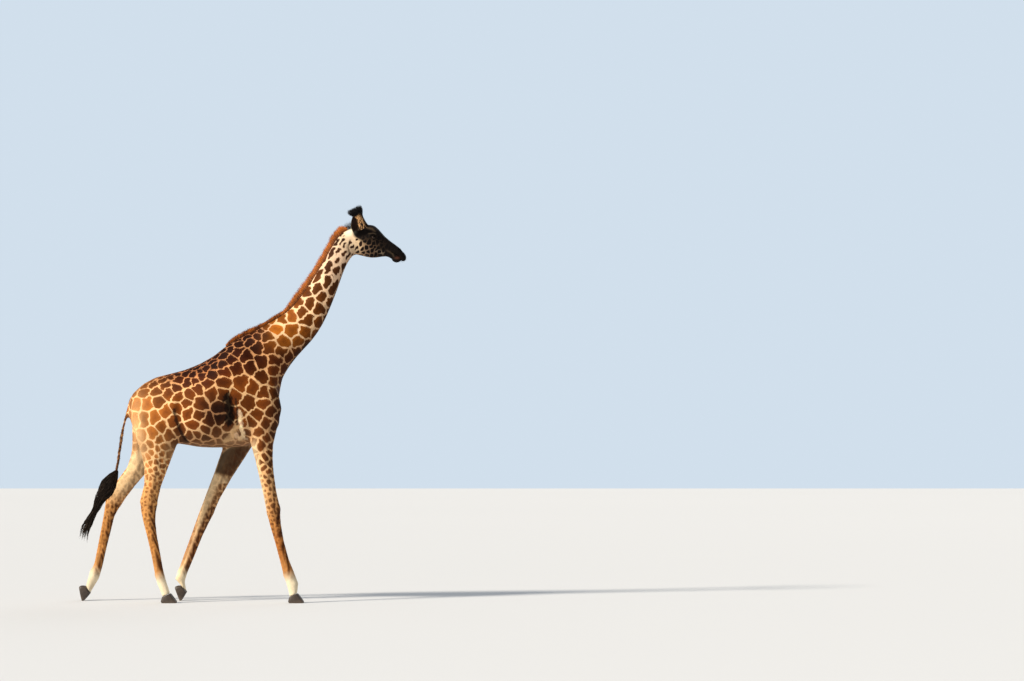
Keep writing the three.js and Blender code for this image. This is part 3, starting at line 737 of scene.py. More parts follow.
def coat_values(points):
    """Blotch size, half line width, blotch strength and the two colours at each point."""
    share = limb_weights(points)
    values = np.zeros((len(points), 9))
    for index, name in enumerate(LIMB_NAMES):
        place = along_line(points, LIMBS[name])[1]
        if name == "trunk":
            above = points[:, 2] - np.interp(points[:, 0], BODY_X, BODY_MIDDLE_Z)
            place = above / np.where(above > 0, np.interp(points[:, 0], BODY_X, BACK_RISE), BELLY_DROP)
        elif name != "neck":
            place = place / length_of(LIMBS[name])[-1]
        table = MARKINGS[name.split("_")[0]]
        places = [row[0] for row in table]
        rows = np.array([[*row[1:4], *linear(row[4]), *linear(row[5])] for row in table])
        for column in range(9):
            values[:, column] += share[:, index] * np.interp(place, places, rows[:, column])
    mirrored = on_left(points)
    values[:, SIZE] *= 1.0 + WITHERS_GAIN * bump(mirrored, WITHERS, WITHERS_REACH)
    # Accents of the coat, with painted shade in the hollows, the folds and under the neck.
    for centre, reach, strength, dark, pale in COAT_ACCENTS_AND_SHADE:
        recolor(values, dark, pale, strength * bump(mirrored, centre, reach))
    # Painted shade along the underside of the neck.
    recolor(values, (18, 8, 3), (112, 74, 48), 0.94 * ridge(mirrored, THROAT_SHADE_LINE, 0.084))
    for centre, reach, strength in NO_BLOTCH:
        values[:, STRENGTH] *= 1.0 - strength * bump(mirrored, centre, reach)
    ragged = 0.30 * np.sin(points @ np.array([150.0, 40.0, 34.0]))
    ragged *= np.sin(points @ np.array([61.0, 30.0, 90.0]) + 1.0)
    outside = in_profile(points)
    # Painted shade in the folds and painted light on the lit edges, ragged like hair.
    for line, width, strength, color in FOLD_SHADE_AND_LIGHT:
        amount = strength * np.clip(3.4 * (ridge(outside, line, width) - 0.40 + ragged), 0.0, 1.0)
        amount *= ridge(outside, line, 2.5 * width) * fade(mirrored[:, 1], 0.17, 0.03)
        recolor(values, color, color, amount)
    # The inner side of each leg is plain and pale; high under the arm it is darkened by a painted shadow of
    # the body.
    on_leg = fade(share[:, 4:].sum(axis=1), 0.5, 0.3)
    inner = np.zeros(len(points))
    pale_lit_rear_edge = np.zeros(len(points))
    x, _, z = points.T
    for name in LEGS:
        line = np.array(LIMBS[name])[::-1]
        near = along_line(points, line)[0] < 0.16
        near &= np.sign(line[0, 1]) == np.sign(points[:, 1])
        middle_x, middle_y = (np.interp(z, line[:, 2], line[:, k]) for k in (0, 1))
        inside = fade(np.abs(middle_y) - 0.012 - mirrored[:, 1], 0.0, 0.025) * near
        if name.startswith("fore"):
            behind = np.clip(0.60 - (x - middle_x) / 0.06, 0.25, 1.0)
            inside *= np.where(z > 1.2, 1.0, behind)
            window = fade(z, 0.85, 0.2) * fade(z, 1.72, -0.15)
            pale_lit_rear_edge = np.maximum(pale_lit_rear_edge, window * near * fade(middle_x - 0.035 - x, 0.0, 0.03))
        else:
            inside *= fade(z, 0.95, 0.2)
        inner = np.maximum(inner, inside)
    inner *= on_leg * fade(z, 1.80, -0.25)
    body_shadow = fade(z - 1.20 + 0.27 * x, 0.0, 0.05) * fade(x, -0.55, 0.1)
    pale_lit_rear_edge *= on_leg
    values[:, STRENGTH] *= (1.0 - 0.75 * inner) * (1.0 - 0.60 * pale_lit_rear_edge)
    # Pale hair on the rear edge of the forelegs, brightened as painted light where the key lamp falls.
    values[:, PALE] = mixed(values[:, PALE], (250, 224, 180), 0.55 * pale_lit_rear_edge)
    values[:, PALE] = mixed(values[:, PALE], INNER_LEG, 0.7 * inner * (1.0 - body_shadow))
    # Painted shadow of the body high on the inner forelegs.
    recolor(values, UNDER_ARM_SHADOW, UNDER_ARM_SHADOW, 0.9 * inner * body_shadow)
    shaded_leg_fronts(points, values, share)
    return values


UP_NECK = np.array([0.46, 0.0, 0.888])


def stretched(points):
    """The space in which blotches grow: squeezed along the upper neck, so that they come out long there."""
    squeeze = 0.50 * np.clip(points @ UP_NECK - 3.20, 0.0, None)
    moved = points - squeeze[:, None] * UP_NECK
    ripples = []
    for wave, phase in (((31, 47, 60), 0.4), ((58, 23, 38), 2.1), ((41, 52, 29), 4.0)):
        wave = np.array(wave)
        broad, fine = (np.sin(points @ turned + phase) for turned in (wave, wave[::-1] * 2.3))
        ripples.append(0.0066 * broad + 0.0042 * fine)
    return moved + np.stack(ripples, axis=1)


def grow_seeds():
    """Seed places scattered over the skin, none nearer to another than its blotch size allows."""
    order = rng.permutation(len(points))[:SEEDS_TRIED]
    size = coat_values(points[order])[:, SIZE]
    where = stretched(points[order])
    kept = np.empty((0, 3))
    reach = np.empty(0)
    for place, extent in zip(where, size):
        if len(kept):
            gap = np.linalg.norm(kept - place, axis=1)
            if (gap < SEED_GAP * (reach + extent) * 0.98).any():
                continue
        kept = np.vstack([kept, place])
        reach = np.append(reach, extent)
    return kept


seeds = grow_seeds()
seed_tone = rng.normal(0.0, 0.17, len(seeds))
seed_tree = KDTree(len(seeds))
for index, place in enumerate(seeds):
    seed_tree.insert(place, index)
seed_tree.balance()
NEIGHBOURS = 6
ROUNDING = 0.0045


def markings_at(points):
    """How far inside its blotch each point lies, with the colours of the blotch and of the lines."""
    values = coat_values(points)
    where = stretched(points)
    found = [seed_tree.find_n(place, NEIGHBOURS) for place in where]
    index = np.array([[hit[1] for hit in hits] for hits in found])
    reach = np.array([[hit[2] for hit in hits] for hits in found])
    own = seeds[index[:, 0]]
    inside = np.zeros(len(points))
    for other in range(1, NEIGHBOURS):
        apart = np.linalg.norm(seeds[index[:, other]] - own, axis=1)
        border = (reach[:, other] ** 2 - reach[:, 0] ** 2) / (2.0 * apart)
        inside += np.exp(-border / ROUNDING)
    inside = -ROUNDING * np.log(inside)
    edge = inside - values[:, GAP]
    tone = np.exp(seed_tone[index[:, 0]])[:, None]
    core = np.clip(edge / (0.42 * values[:, SIZE]), 0.0, 1.0)[:, None]
    blotch = np.clip(values[:, DARK] * tone * (1.18 + core * np.array([-0.44, -0.50, -0.40])), 0.0, 1.0)
    ground = values[:, PALE]
    return edge, blended(ground, blotch, values[:, STRENGTH]), ground


def face_colors(points, edge, blotch, ground):
    """The dark mask of the face, dark hair deepened as painted shade, the pale nape, the ears darkened by
    painted shade, and the rims, over the markings.
    """
    mirrored = on_left(points)
    flat = in_profile(points)
    clear = 1.0
    for place, reach in (
        ([(1.20, 0.0, 3.84), (1.30, 0.0, 3.80), (1.42, 0.0, 3.74), (1.60, 0.0, 3.60)], 0.115),
        ((1.262, 0.09, 3.745), (0.056, 0.06, 0.045)),
        ((1.345, 0.10, 3.69), (0.085, 0.06, 0.048)),
        ((1.62, 0.0, 3.54), (0.125, 0.12, 0.10)),
        ((1.46, 0.08, 3.63), (0.11, 0.06, 0.062)),
    ):
        clear = clear * (1.0 - swelling(mirrored, place, reach))
    ear_foot = bump(mirrored, (1.190, 0.095, 3.758), (0.038, 0.06, 0.042))
    ear_foot = np.maximum(ear_foot, bump(mirrored, (1.190, 0.05, 3.815), (0.030, 0.05, 0.030)))
    dark = fade(1.0 - clear * (1.0 - ear_foot), 0.42, 0.30)
    brow = 0.50 * ridge(flat, [(1.285, 0, 3.806), (1.335, 0, 3.792), (1.360, 0, 3.772)], 0.012)
    brow += 0.40 * ridge(flat, [(1.300, 0, 3.742), (1.345, 0, 3.748), (1.372, 0, 3.738)], 0.006)
    lip_line = [(1.487, 0, 3.573), (1.513, 0, 3.558), (1.543, 0, 3.539), (1.552, 0, 3.512)]
    brow += 0.36 * ridge(flat, lip_line, 0.009)
    strands = 1.0
    for wave, bend, sway in (
        ((480.0, 0.0, 860.0), 3.0, (90.0, 0.0, -50.0)), ((-210.0, 0.0, 130.0), 2.0, (70.0, 0.0, 190.0))
    ):
        strands = strands * np.sin(flat @ np.array(wave) + bend * np.sin(flat @ np.array(sway)))
    off_middle = fade(mirrored[:, 1], 0.02, 0.02)
    brow = np.clip(brow * (0.78 + 0.32 * strands) * off_middle, 0.0, 1.0)
    # The mask: dark hair, deepened as painted shade on the top and front of the face.
    mask = mixed(linear(FACE_DARK_AND_SHADE), (108, 88, 66), brow)
    mask = mixed(mask, (88, 52, 38), 0.85 * bump(mirrored, (1.590, 0.03, 3.500), (0.017, 0.05, 0.010)))
    blotch = blended(blotch, mask, dark)
    seams = mixed(mask, (112, 86, 64), 0.8 * bump(mirrored, (1.30, 0.10, 3.60), (0.080, 0.10, 0.050)))
    jaw = ridge(flat, [(1.16, 0, 3.575), (1.30, 0, 3.553), (1.43, 0, 3.545)], 0.024)
    seams = mixed(seams, (178, 154, 126), 0.75 * jaw * off_middle)
    nape = bump(mirrored, (1.098, 0.09, 3.785), (0.030, 0.08, 0.034))
    ground = mixed(blended(ground, seams, dark), (252, 247, 218), nape)
    edge = edge - 0.035 * nape - 0.03 * bump(mirrored, (1.166, 0.10, 3.775), (0.03, 0.04, 0.04))
    # Painted shade in the crease behind the jaw.
    crease = ridge(flat, [(1.112, 0, 3.672), (1.090, 0, 3.600), (1.100, 0, 3.560), (1.125, 0, 3.525)], 0.010)
    crease = 0.75 * crease * fade(mirrored[:, 1], 0.03, 0.03)
    ground = mixed(ground, (82, 56, 36), crease)
    blotch = mixed(blotch, (40, 24, 14), crease)
    away, travel, _ = along_line(mirrored, [EAR_FOOT + EAR_UP * 0.018, EAR_FOOT + EAR_UP * EAR_LENGTH])
    on_ear = fade(away, 0.050, -0.012) * fade(travel, 0.004, 0.02)
    # Painted shade: the ears' pale hair is painted dark brown, a lighter brown at the front rim.
    front = fade((mirrored - EAR_FOOT) @ np.array([0.72, -0.36, 0.0]), 0.012, 0.012)
    ear_shade = mixed(linear((38, 23, 16)), (104, 76, 54), front)
    return edge, blended(blotch, ear_shade, on_ear), blended(ground, ear_shade, on_ear)


def write_layer(mesh, name, values):
    """A number or a colour for each point, kept in the mesh for its material."""
    values = np.asarray(values)
    if values.ndim == 2 and values.shape[1] == 3:
        values = np.column_stack([values, np.ones(len(values))])
    kind, field = ("FLOAT", "value") if values.ndim == 1 else ("FLOAT_COLOR", "color")
    mesh.attributes.new(name, kind, "POINT").data.foreach_set(field, values.astype(np.float32).ravel())


edge, blotch, ground = face_colors(points, *markings_at(points))
share = limb_weights(points)
write_layer(hide_mesh, "edge", edge * (1.0 + 1.6 * share[:, HEAD]))
write_layer(hide_mesh, "blotch", np.clip(blotch, 0.0, 1.0))
write_layer(hide_mesh, "ground", np.clip(ground, 0.0, 1.0))

# Which way the short hair runs, as a share of each of four directions, for the grain in the skin's relief.
GRAINS = (("trunk", "tail"), ("neck",), ("fore_right", "hind_right", "fore_left", "hind_left"), ("head",))
write_layer(hide_mesh, "grain", np.stack([
    share[:, [LIMB_NAMES.index(name) for name in group]].sum(axis=1) for group in GRAINS
], axis=1))


def new_group(name, inputs, outputs):
    """A shader node group with named sockets: inputs with their defaults, outputs by kind."""
    group = bpy.data.node_groups.new(name, "ShaderNodeTree")
    for label, kind, default in inputs:
        group.interface.new_socket(label, in_out="INPUT", socket_type=kind).default_value = default
    for label, kind in outputs:
        group.interface.new_socket(label, in_out="OUTPUT", socket_type=kind)
    return group, group.nodes.new("NodeGroupInput"), group.nodes.new("NodeGroupOutput")


def layer_of(tree, name, output):
    """One of the numbers or colours that a mesh keeps for its material."""
    return node(tree, "ShaderNodeAttribute", attribute_name=name), output


def math_of(tree, operation, *inputs):
    """The result of a sum of this kind on these inputs."""
    return node(tree, "ShaderNodeMath", enumerate(inputs), operation=operation), "Value"


def color_mix(tree, share, first, second):
    """The first colour mixed with a share of the second. The node keeps its colours at these places."""
    return node(tree, "ShaderNodeMix", {6: first, 7: second}, data_type="RGBA", Factor=share), 2


def hair_relief_group():
    """Fine streaks along the lie of the hair, in the four directions that the body's parts take."""
    group, given, result = new_group(
        "hair_relief", [("Fineness", "NodeSocketFloat", 1.0)],
        [("Height", "NodeSocketFloat"), ("Fade", "NodeSocketFloat")],
    )
    place = (node(group, "ShaderNodeTexCoord"), "Object")
    share = node(group, "ShaderNodeAttribute", attribute_name="grain")
    parts = node(group, "ShaderNodeSeparateColor", Color=(share, "Color"))
    total = None
    for source, tilt in (
        ((parts, "Red"), -0.68), ((parts, "Green"), -0.98), ((parts, "Blue"), -1.57), ((share, "Alpha"), 0.42)
    ):
        turn = node(
            group, "ShaderNodeMapping", vector_type="TEXTURE", Vector=place, Rotation=(0.0, tilt, 0.0),
            Scale=(0.030, 0.0033, 0.0033),
        )
        streak = node(
            group, "ShaderNodeTexNoise", Vector=(turn, "Vector"), Scale=(given, "Fineness"), Detail=3.0,
            Roughness=0.6,
        )
        part = math_of(group, "MULTIPLY", (streak, "Fac"), source)
        total = math_of(group, "ADD", total, part) if total else part
    broad = node(group, "ShaderNodeTexNoise", Vector=place, Scale=9.0, Detail=4.0)
    fit(group, result, Height=total, Fade=(broad, "Fac"))
    return group


def markings_group():
    """The blotch and line colours, with soft hairy borders, worn and bleached a little here and there."""
    group, given, result = new_group(
        "coat_markings",
        [(name, "NodeSocketFloat", usual)
         for name, usual in (("Softness", 0.003), ("Fade", 0.5), ("Streak", 0.5))],
        [("Color", "NodeSocketColor")],
    )
    edge = layer_of(group, "edge", "Fac")
    dark, pale = layer_of(group, "blotch", "Color"), layer_of(group, "ground", "Color")
    ragged = ranged(group, (given, "Streak"), (0.0, 1.0), (-0.006, 0.006))
    inside = node(
        group, "ShaderNodeMapRange", interpolation_type="SMOOTHSTEP",
        Value=math_of(group, "ADD", edge, ragged),
        From_Min=math_of(group, "MULTIPLY", (given, "Softness"), -1.0), From_Max=(given, "Softness"),
    )
    marked = color_mix(group, (inside, "Result"), pale, dark)
    tone = ranged(group, (given, "Fade"), (0.3, 0.7), (0.80, 1.18))
    fleck = ranged(group, (given, "Streak"), (0.25, 0.75), (0.82, 1.16))
    both = math_of(group, "MULTIPLY", tone, fleck)
    toned = node(group, "ShaderNodeVectorMath", {0: marked}, operation="SCALE", Scale=both)
    fit(group, result, Color=(toned, "Vector"))
    return group


HAIR_RELIEF = hair_relief_group()
COAT_MARKINGS = markings_group()


def coat_material(name, relief, fineness, roughness):
    """Short hair in her markings, standing up by its relief and running as fine as its fineness."""
    material, tree, shader = new_material(name)
    hair = node(tree, "ShaderNodeGroup", node_tree=HAIR_RELIEF, Fineness=fineness)
    streak = (hair, "Height")
    marks = node(tree, "ShaderNodeGroup", node_tree=COAT_MARKINGS, Fade=(hair, "Fade"), Streak=streak)
    raised = node(tree, "ShaderNodeBump", Strength=relief, Distance=0.002, Height=streak)
    gloss = ranged(tree, streak, (0.3, 0.7), (roughness - 0.06, roughness + 0.08))
    fit(
        tree, shader, Base_Color=(marks, "Color"), Roughness=gloss, Normal=(raised, "Normal"),
        Specular_IOR_Level=0.07,
    )
    return material


hide_mesh.materials.append(coat_material("short_hair_on_skin", 0.6, 1.0, 0.62))
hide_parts(*flesh_nodes, "ear_right", "ear_left")
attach(hide, "root")

# ---------------------------------------------------------------- eyes
# Large dark brown eyes with a level oval pupil, set deep under the brow and covered by a clear wet cornea.
# Each is one ball, a little fuller in front, held between the lids.

EYE_RINGS, EYE_SPOKES = 40, 64
CORNEA = 0.0013
SIDES = ((-1.0, "right"), (1.0, "left"))
IRIS_REACH = 0.80
PUPIL_WIDE, PUPIL_TALL = 0.42, 0.25


def eyeball(side, name):
    """One ball facing its gaze. It keeps how far round each point lies, for the iris and the pupil."""
    gaze, along, upward = eye_axes(side)
    centre = on_side(EYE_PLACE, side)
    places, opening, pupil = [], [], []
    for ring in range(1, EYE_RINGS):
        polar = math.pi * (ring / EYE_RINGS) ** 1.25
        reach = EYE_RADIUS + CORNEA * math.exp(-((polar / 0.55) ** 2))
        for spoke in range(EYE_SPOKES):
            turn = 2.0 * math.pi * spoke / EYE_SPOKES
            a, b = math.sin(polar) * math.cos(turn), math.sin(polar) * math.sin(turn)
            places.append(centre + reach * (a * along + b * upward + math.cos(polar) * gaze))
            opening.append(polar / IRIS_REACH)
            pupil.append(math.hypot(a / PUPIL_WIDE, b / PUPIL_TALL) if polar < 1.5 else 9.0)
    front = len(places)
    places += [centre + gaze * (EYE_RADIUS + CORNEA), centre - gaze * EYE_RADIUS]
    opening += [0.0, math.pi / IRIS_REACH]
    pupil += [0.0, 9.0]
    last = (EYE_RINGS - 2) * EYE_SPOKES
    faces = []
    for spoke in range(EYE_SPOKES):
        after = (spoke + 1) % EYE_SPOKES
        faces += [(front, spoke, after), (front + 1, last + after, last + spoke)]
        for low in range(0, last, EYE_SPOKES):
            high = low + EYE_SPOKES
            faces += [(low + spoke, high + spoke, high + after), (low + spoke, high + after, low + after)]
    made = mesh_object(name, places, faces)
    close_up(made)
    write_layer(made.data, "iris", opening)
    write_layer(made.data, "pupil", pupil)
    shade_smooth(made.data)
    return made


def color_ramp(tree, share, low, high):
    """A colour that runs from the low one to the high one."""
    made = node(tree, "ShaderNodeValToRGB", Fac=share)
    made.color_ramp.elements[0].color = low
    made.color_ramp.elements[1].color = high
    return made, "Color"


eye_material, tree, shader = new_material("wet_dark_eye")
fibres = node(tree, "ShaderNodeTexNoise", Scale=420.0, Detail=3.0)
brown = color_ramp(tree, (fibres, "Fac"), (0.020, 0.008, 0.003, 1.0), (0.075, 0.032, 0.010, 1.0))
off_pupil = ranged(tree, layer_of(tree, "pupil", "Fac"), (0.85, 1.1))
middle = color_mix(tree, off_pupil, (0.0015, 0.0015, 0.002, 1.0), brown)
off_iris = ranged(tree, layer_of(tree, "iris", "Fac"), (0.92, 1.08))
white = color_mix(tree, off_iris, middle, (0.055, 0.030, 0.020, 1.0))
fit(
    tree, shader, Base_Color=white, Roughness=0.12, Specular_IOR_Level=0.15, Coat_Weight=0.75, Coat_IOR=1.38,
    Coat_Roughness=0.02,
)
for side, name in SIDES:
    eye = eyeball(side, "eyeball_" + name)
    eye.data.materials.append(eye_material)
    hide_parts("eye_" + name)
    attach(eye, "root")

# ---------------------------------------------------------------- ossicones
# Two skin-covered horns of bone, broad at the foot, leaning back, with a blunt knob on the end.
# They grow from the skull behind the brow; their own short hair is tan, dark in front and black at the knob.

OSSICONE_FOOT = np.array([1.256, 0.058, 3.790])
OSSICONE_LENGTH = 0.194
OSSICONE_RINGS, OSSICONE_SPOKES = 64, 56
FLARE = 0.040


def ossicone_axis(side):
    """The way up an ossicone, back from the brow and a little outward."""
    return unit(np.array([-0.420, side * 0.10, 0.902]))


hide_tree = BVHTree.FromObject(hide, bpy.context.evaluated_depsgraph_get())


def settled(place, height):
    """A point of the stalk's foot drawn down onto the skull, so that the flare ends just under the skin."""
    spot, outward, _, _ = hide_tree.find_nearest(Vector(place))
    share = fade(height, FLARE, -0.050)
    if (Vector(place) - spot).dot(outward) < -0.003:
        return place
    return np.array(Vector(place).lerp(spot - outward * 0.003, share * share * (3.0 - 2.0 * share)))


def ossicone_mesh(side, name):
    """One stalk with its knob, with its own spots, streaks and dark front in the markings' layers."""
    axis = ossicone_axis(side)
    ahead = unit(np.array([1.0, 0.0, 0.0]) - axis * axis[0])
    beside = np.cross(axis, ahead)
    foot = on_side(OSSICONE_FOOT, side)
    places, edge, dark = [], [], []
    for ring in range(OSSICONE_RINGS):
        share = ring / (OSSICONE_RINGS - 1)
        height = -0.022 + (OSSICONE_LENGTH + 0.022) * (1.0 - (1.0 - share) ** 1.5)
        part = max(height, 0.0) / OSSICONE_LENGTH
        radius = 0.0320 + 0.0250 * math.exp(-part * 4.2) + 0.0035 * math.exp(-(((part - 0.88) / 0.13) ** 2))
        radius *= math.sqrt(max(1.0 - max((part - 0.80) / 0.205, 0.0) ** 2.6, 0.0002))
        for spoke in range(OSSICONE_SPOKES):
            turn = 2.0 * math.pi * spoke / OSSICONE_SPOKES
            ripple = 0.0009 * math.sin(turn * 5 + part * 7) + 0.0007 * math.sin(turn * 9 - part * 19 + side)
            reach = radius * (1.0 + 0.10 * math.cos(2 * turn)) + ripple * min(1.0, (1.02 - part) * 8)
            bend = 0.006 * part**2
            place = foot + axis * height + ahead * (reach * math.cos(turn) + bend)
            place = place + beside * (reach * 0.88 * math.sin(turn))
            places.append(settled(place, height) if height < FLARE else place)
            wander = turn + 0.35 * math.sin(part * 17)
            spots = math.sin(wander * 7 + 2.0 * math.sin(part * 23)) * math.cos(part * 34 + wander * 3) - part
            streaks = math.sin(wander * 11 + 5 * part) * (0.55 + 0.45 * math.sin(part * 13 + turn * 2)) - 0.55
            front = math.cos(turn) - 0.70
            edge.append(max(
                0.014 * (spots + 0.36), 0.012 * (streaks + 0.18), 0.02 * front,
                0.06 * (part - 0.80), 0.08 * (0.07 + 0.05 * spots - part),
            ))
            dark.append((16, 13, 14) if part > 0.74 else (34, 25, 20))
    made = tube(name, places, OSSICONE_SPOKES)
    write_layer(made.data, "edge", edge)
    write_layer(made.data, "blotch", linear(dark))
    write_layer(made.data, "ground", np.tile(linear((206, 156, 106)), (len(dark), 1)))
    write_layer(made.data, "grain", np.tile([0.0, 1.0, 0.0, 0.0], (len(dark), 1)))
    shade_smooth(made.data)
    return made


ossicone_material = coat_material("ossicone_hair", 0.7, 1.4, 0.6)
ossicones = []
for side, name in SIDES:
    ossicone = ossicone_mesh(side, "ossicone_stalk_" + name)
    ossicone.data.materials.append(ossicone_material)
    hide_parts("ossicone_" + name)
    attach(ossicone, "root")
    ossicones.append(ossicone)

# ---------------------------------------------------------------- hooves
# Two dark horn claws on each foot, ridged round by growth and worn pale and dusty at the toe.
# They are drawn from the frame's own claws, rounded over, and stand on the same flats.

HOOF_GRID = 0.0036
GROWTH_RINGS = 620.0
hoof_material, tree, shader = new_material("hoof_horn")
height = layer_of(tree, "rise", "Fac")
place = (node(tree, "ShaderNodeTexCoord"), "Object")
wander = (node(tree, "ShaderNodeTexNoise", Vector=place, Scale=26.0, Detail=4.0), "Fac")
fibre = (node(tree, "ShaderNodeTexNoise", Vector=place, Scale=240.0, Detail=4.0, Roughness=0.7), "Fac")
rings = math_of(tree, "MULTIPLY", height, GROWTH_RINGS)
wave = math_of(tree, "SINE", math_of(tree, "MULTIPLY_ADD", wander, 7.0, rings))
relief = math_of(tree, "MULTIPLY_ADD", wave, 0.35, fibre)
raised = node(tree, "ShaderNodeBump", Strength=0.5, Distance=0.0015, Height=relief)
dusty = ranged(tree, height, (0.055, 0.0), (0.0, 0.75))
patchy = math_of(tree, "MULTIPLY", dusty, wander)
horn = color_ramp(tree, fibre, (0.020, 0.014, 0.011, 1.0), (0.090, 0.060, 0.040, 1.0))
worn = color_mix(tree, patchy, horn, (0.30, 0.21, 0.14, 1.0))
fit(tree, shader, Base_Color=worn, Roughness=0.5, Normal=(raised, "Normal"))


def rounded_claw(name, upward):
    """The frame's claw with its facets rounded over, and its height up the wall kept for the growth rings."""
    solid = frame["nodes"][name]
    cast = bpy.data.objects.new(name + "_cast", solid.data.copy())
    scene.collection.objects.link(cast)
    cells = cast.modifiers.new("cells", "REMESH")
    cells.mode = "VOXEL"
    cells.voxel_size = HOOF_GRID
    mesh = bpy.data.meshes.new_from_object(cast.evaluated_get(bpy.context.evaluated_depsgraph_get()))
    bpy.data.objects.remove(cast)
    mesh.materials.clear()
    points, edges = arrays_of(mesh)
    tread = points[:, 2] < 0.003
    smooth = relaxed(points, edges, np.where(tread, 0.0, 0.5), 9)
    smooth[:, 2] = np.maximum(smooth[:, 2], 0.0)
    smooth[tread, 2] = 0.0
    height = smooth @ upward
    height -= height.min()
    write_points(mesh, smooth)
    ridges = 0.0003 * np.sin(height * GROWTH_RINGS) * (smooth[:, 2] > 0.006)
    write_points(mesh, smooth + normals_of(mesh) * ridges[:, None])
    write_layer(mesh, "rise", height)
    shade_smooth(mesh)
    made = bpy.data.objects.new(name.replace("hoof", "claw"), mesh)
    scene.collection.objects.link(made)
    return made


for limb in LEGS:
    upward = unit(np.array(LIMBS[limb][-2]) - np.array(LIMBS[limb][-1]))
    for half in ("outer", "inner"):
        claw = rounded_claw(f"{limb}_hoof_{half}", upward)
        claw.data.materials.append(hoof_material)
        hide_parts(f"{limb}_hoof_{half}")
        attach(claw, "root")

# ---------------------------------------------------------------- short coat
# Short stiff hair in flat tufts all over the skin, laid back along the head and trunk and down neck and legs.
# Each tuft is a thin closed blade rooted just under the skin, and takes the skin's marking at its root.


def blade_faces(count, rings):
    """The triangles of closed three-sided blades, each of some rings of points and a tip."""
    tip = 3 * rings
    faces = [(0, 1, 2)]
    for low in range(0, tip, 3):
        for corner in range(3):
            a, b = low + corner, low + (corner + 1) % 3
            faces += [(a, tip, b)] if low + 3 == tip else [(a, a + 3, b), (b, a + 3, b + 3)]
    return (np.array(faces)[None] + (np.arange(count) * (tip + 1))[:, None, None]).reshape(-1, 3)


def blades(roots, lie, stand, length, width, thick, bend, rings):
    """Closed three-sided blades: points, triangles, each point's share of its length, points in each."""
    count = len(roots)
    across = unit(np.cross(lie, stand), 1e-9)
    length, width, thick = (np.broadcast_to(value, count)[:, None] for value in (length, width, thick))
    rows, shares = [], []
    for ring in range(rings):
        share = ring / rings
        middle = roots + lie * (length * share) + bend * share**2
        narrow = (1.0 - share) ** 0.6
        half = across * (0.5 * width * narrow)
        rows += [middle - half, middle + half, middle + stand * (thick * narrow)]
        shares += [share] * 3
    rows.append(roots + lie * length + bend)
    shares.append(1.0)
    points = np.stack(rows, axis=1).reshape(-1, 3)
    return points, blade_faces(count, rings), np.tile(shares, count), len(rows)


def unwrap(roots, limb):
    """A place on the limb's own skin, unrolled: round it across, along it up."""
    line = np.array(LIMBS[limb])
    _, travel, heading = along_line(roots, line)
    steps = length_of(line)
    out = roots - np.stack([np.interp(travel, steps, line[:, k]) for k in range(3)], axis=1)
    upright = np.cross(heading, np.array([0.0, 1.0, 0.0]))
    turn = np.arctan2(out[:, 1], (out * upright).sum(axis=1))
    beyond = 0.02 * fade(np.linalg.norm(out, axis=1), 0.0, 0.4)
    end = np.where(travel <= 0.0, -beyond, np.where(travel >= steps[-1], beyond, 0.0))
    up = 0.04 + 0.92 * travel / steps[-1] + end
    return np.column_stack([0.03 + 0.94 * (turn / (2.0 * math.pi) + 0.5), up])


PATCH = 0.003


def tuft_object(name, built, root_uv, layers, normals=None):
    """One mesh of many tufts, with its colours and the OFBake map that keeps each tuft on one small patch."""
    points, faces, share, size = built
    made = mesh_object(name, points, faces)
    mesh = made.data
    index = np.tile(np.arange(size), len(root_uv))
    patch = np.column_stack([((index % 3) - 1) * 0.5 * PATCH, (share - 0.5) * PATCH])
    corner = np.repeat(root_uv, size, axis=0) + patch
    mesh.uv_layers.new(name="OFBake").data.foreach_set("uv", corner[faces.ravel()].astype(np.float32).ravel())
    for label, values in layers.items():
        write_layer(mesh, label, values if len(values) == len(points) else np.repeat(values, size, axis=0))
    shade_smooth(mesh)
    if normals is not None:
        mesh.normals_split_custom_set_from_vertices(np.repeat(normals, size, axis=0).astype(np.float32))
    return made


def read_colors(mesh, name, width):
    """The numbers or colours that a mesh keeps for its material."""
    values = np.empty(len(mesh.vertices) * width, dtype=np.float32)
    mesh.attributes[name].data.foreach_get("value" if width == 1 else "color", values)
    return values if width == 1 else values.reshape(-1, width)


def sown(mesh, count, density):
    """Root places scattered over a mesh by area and density, with normals and the markings there."""
    mesh.calc_loop_triangles()
    corners = np.empty(len(mesh.loop_triangles) * 3, dtype=np.int32)
    mesh.loop_triangles.foreach_get("vertices", corners)
    corners = corners.reshape(-1, 3)
    points, _ = arrays_of(mesh)
    a, b, c = (points[corners[:, k]] for k in range(3))
    area = 0.5 * np.linalg.norm(np.cross(b - a, c - a), axis=1)
    chance = area * density((a + b + c) / 3.0)
    chosen = np.sort(rng.choice(len(corners), count, p=chance / chance.sum()))
    first, second = rng.random(count), rng.random(count)
    flip = first + second > 1.0
    first[flip], second[flip] = 1.0 - first[flip], 1.0 - second[flip]
    parts = np.stack([1.0 - first - second, first, second], axis=1)[:, :, None]
    pick = corners[chosen]

    def blend(values):
        return (values[pick] * (parts if values.ndim == 2 else parts[..., 0])).sum(axis=1)

    marks = {
        "edge": blend(read_colors(mesh, "edge", 1)),
        "blotch": blend(read_colors(mesh, "blotch", 4))[:, :3],
        "ground": blend(read_colors(mesh, "ground", 4))[:, :3],
        "grain": blend(read_colors(mesh, "grain", 4)),
    }
    return blend(points), unit(blend(normals_of(mesh))), marks


BARE_LIDS = 0.031


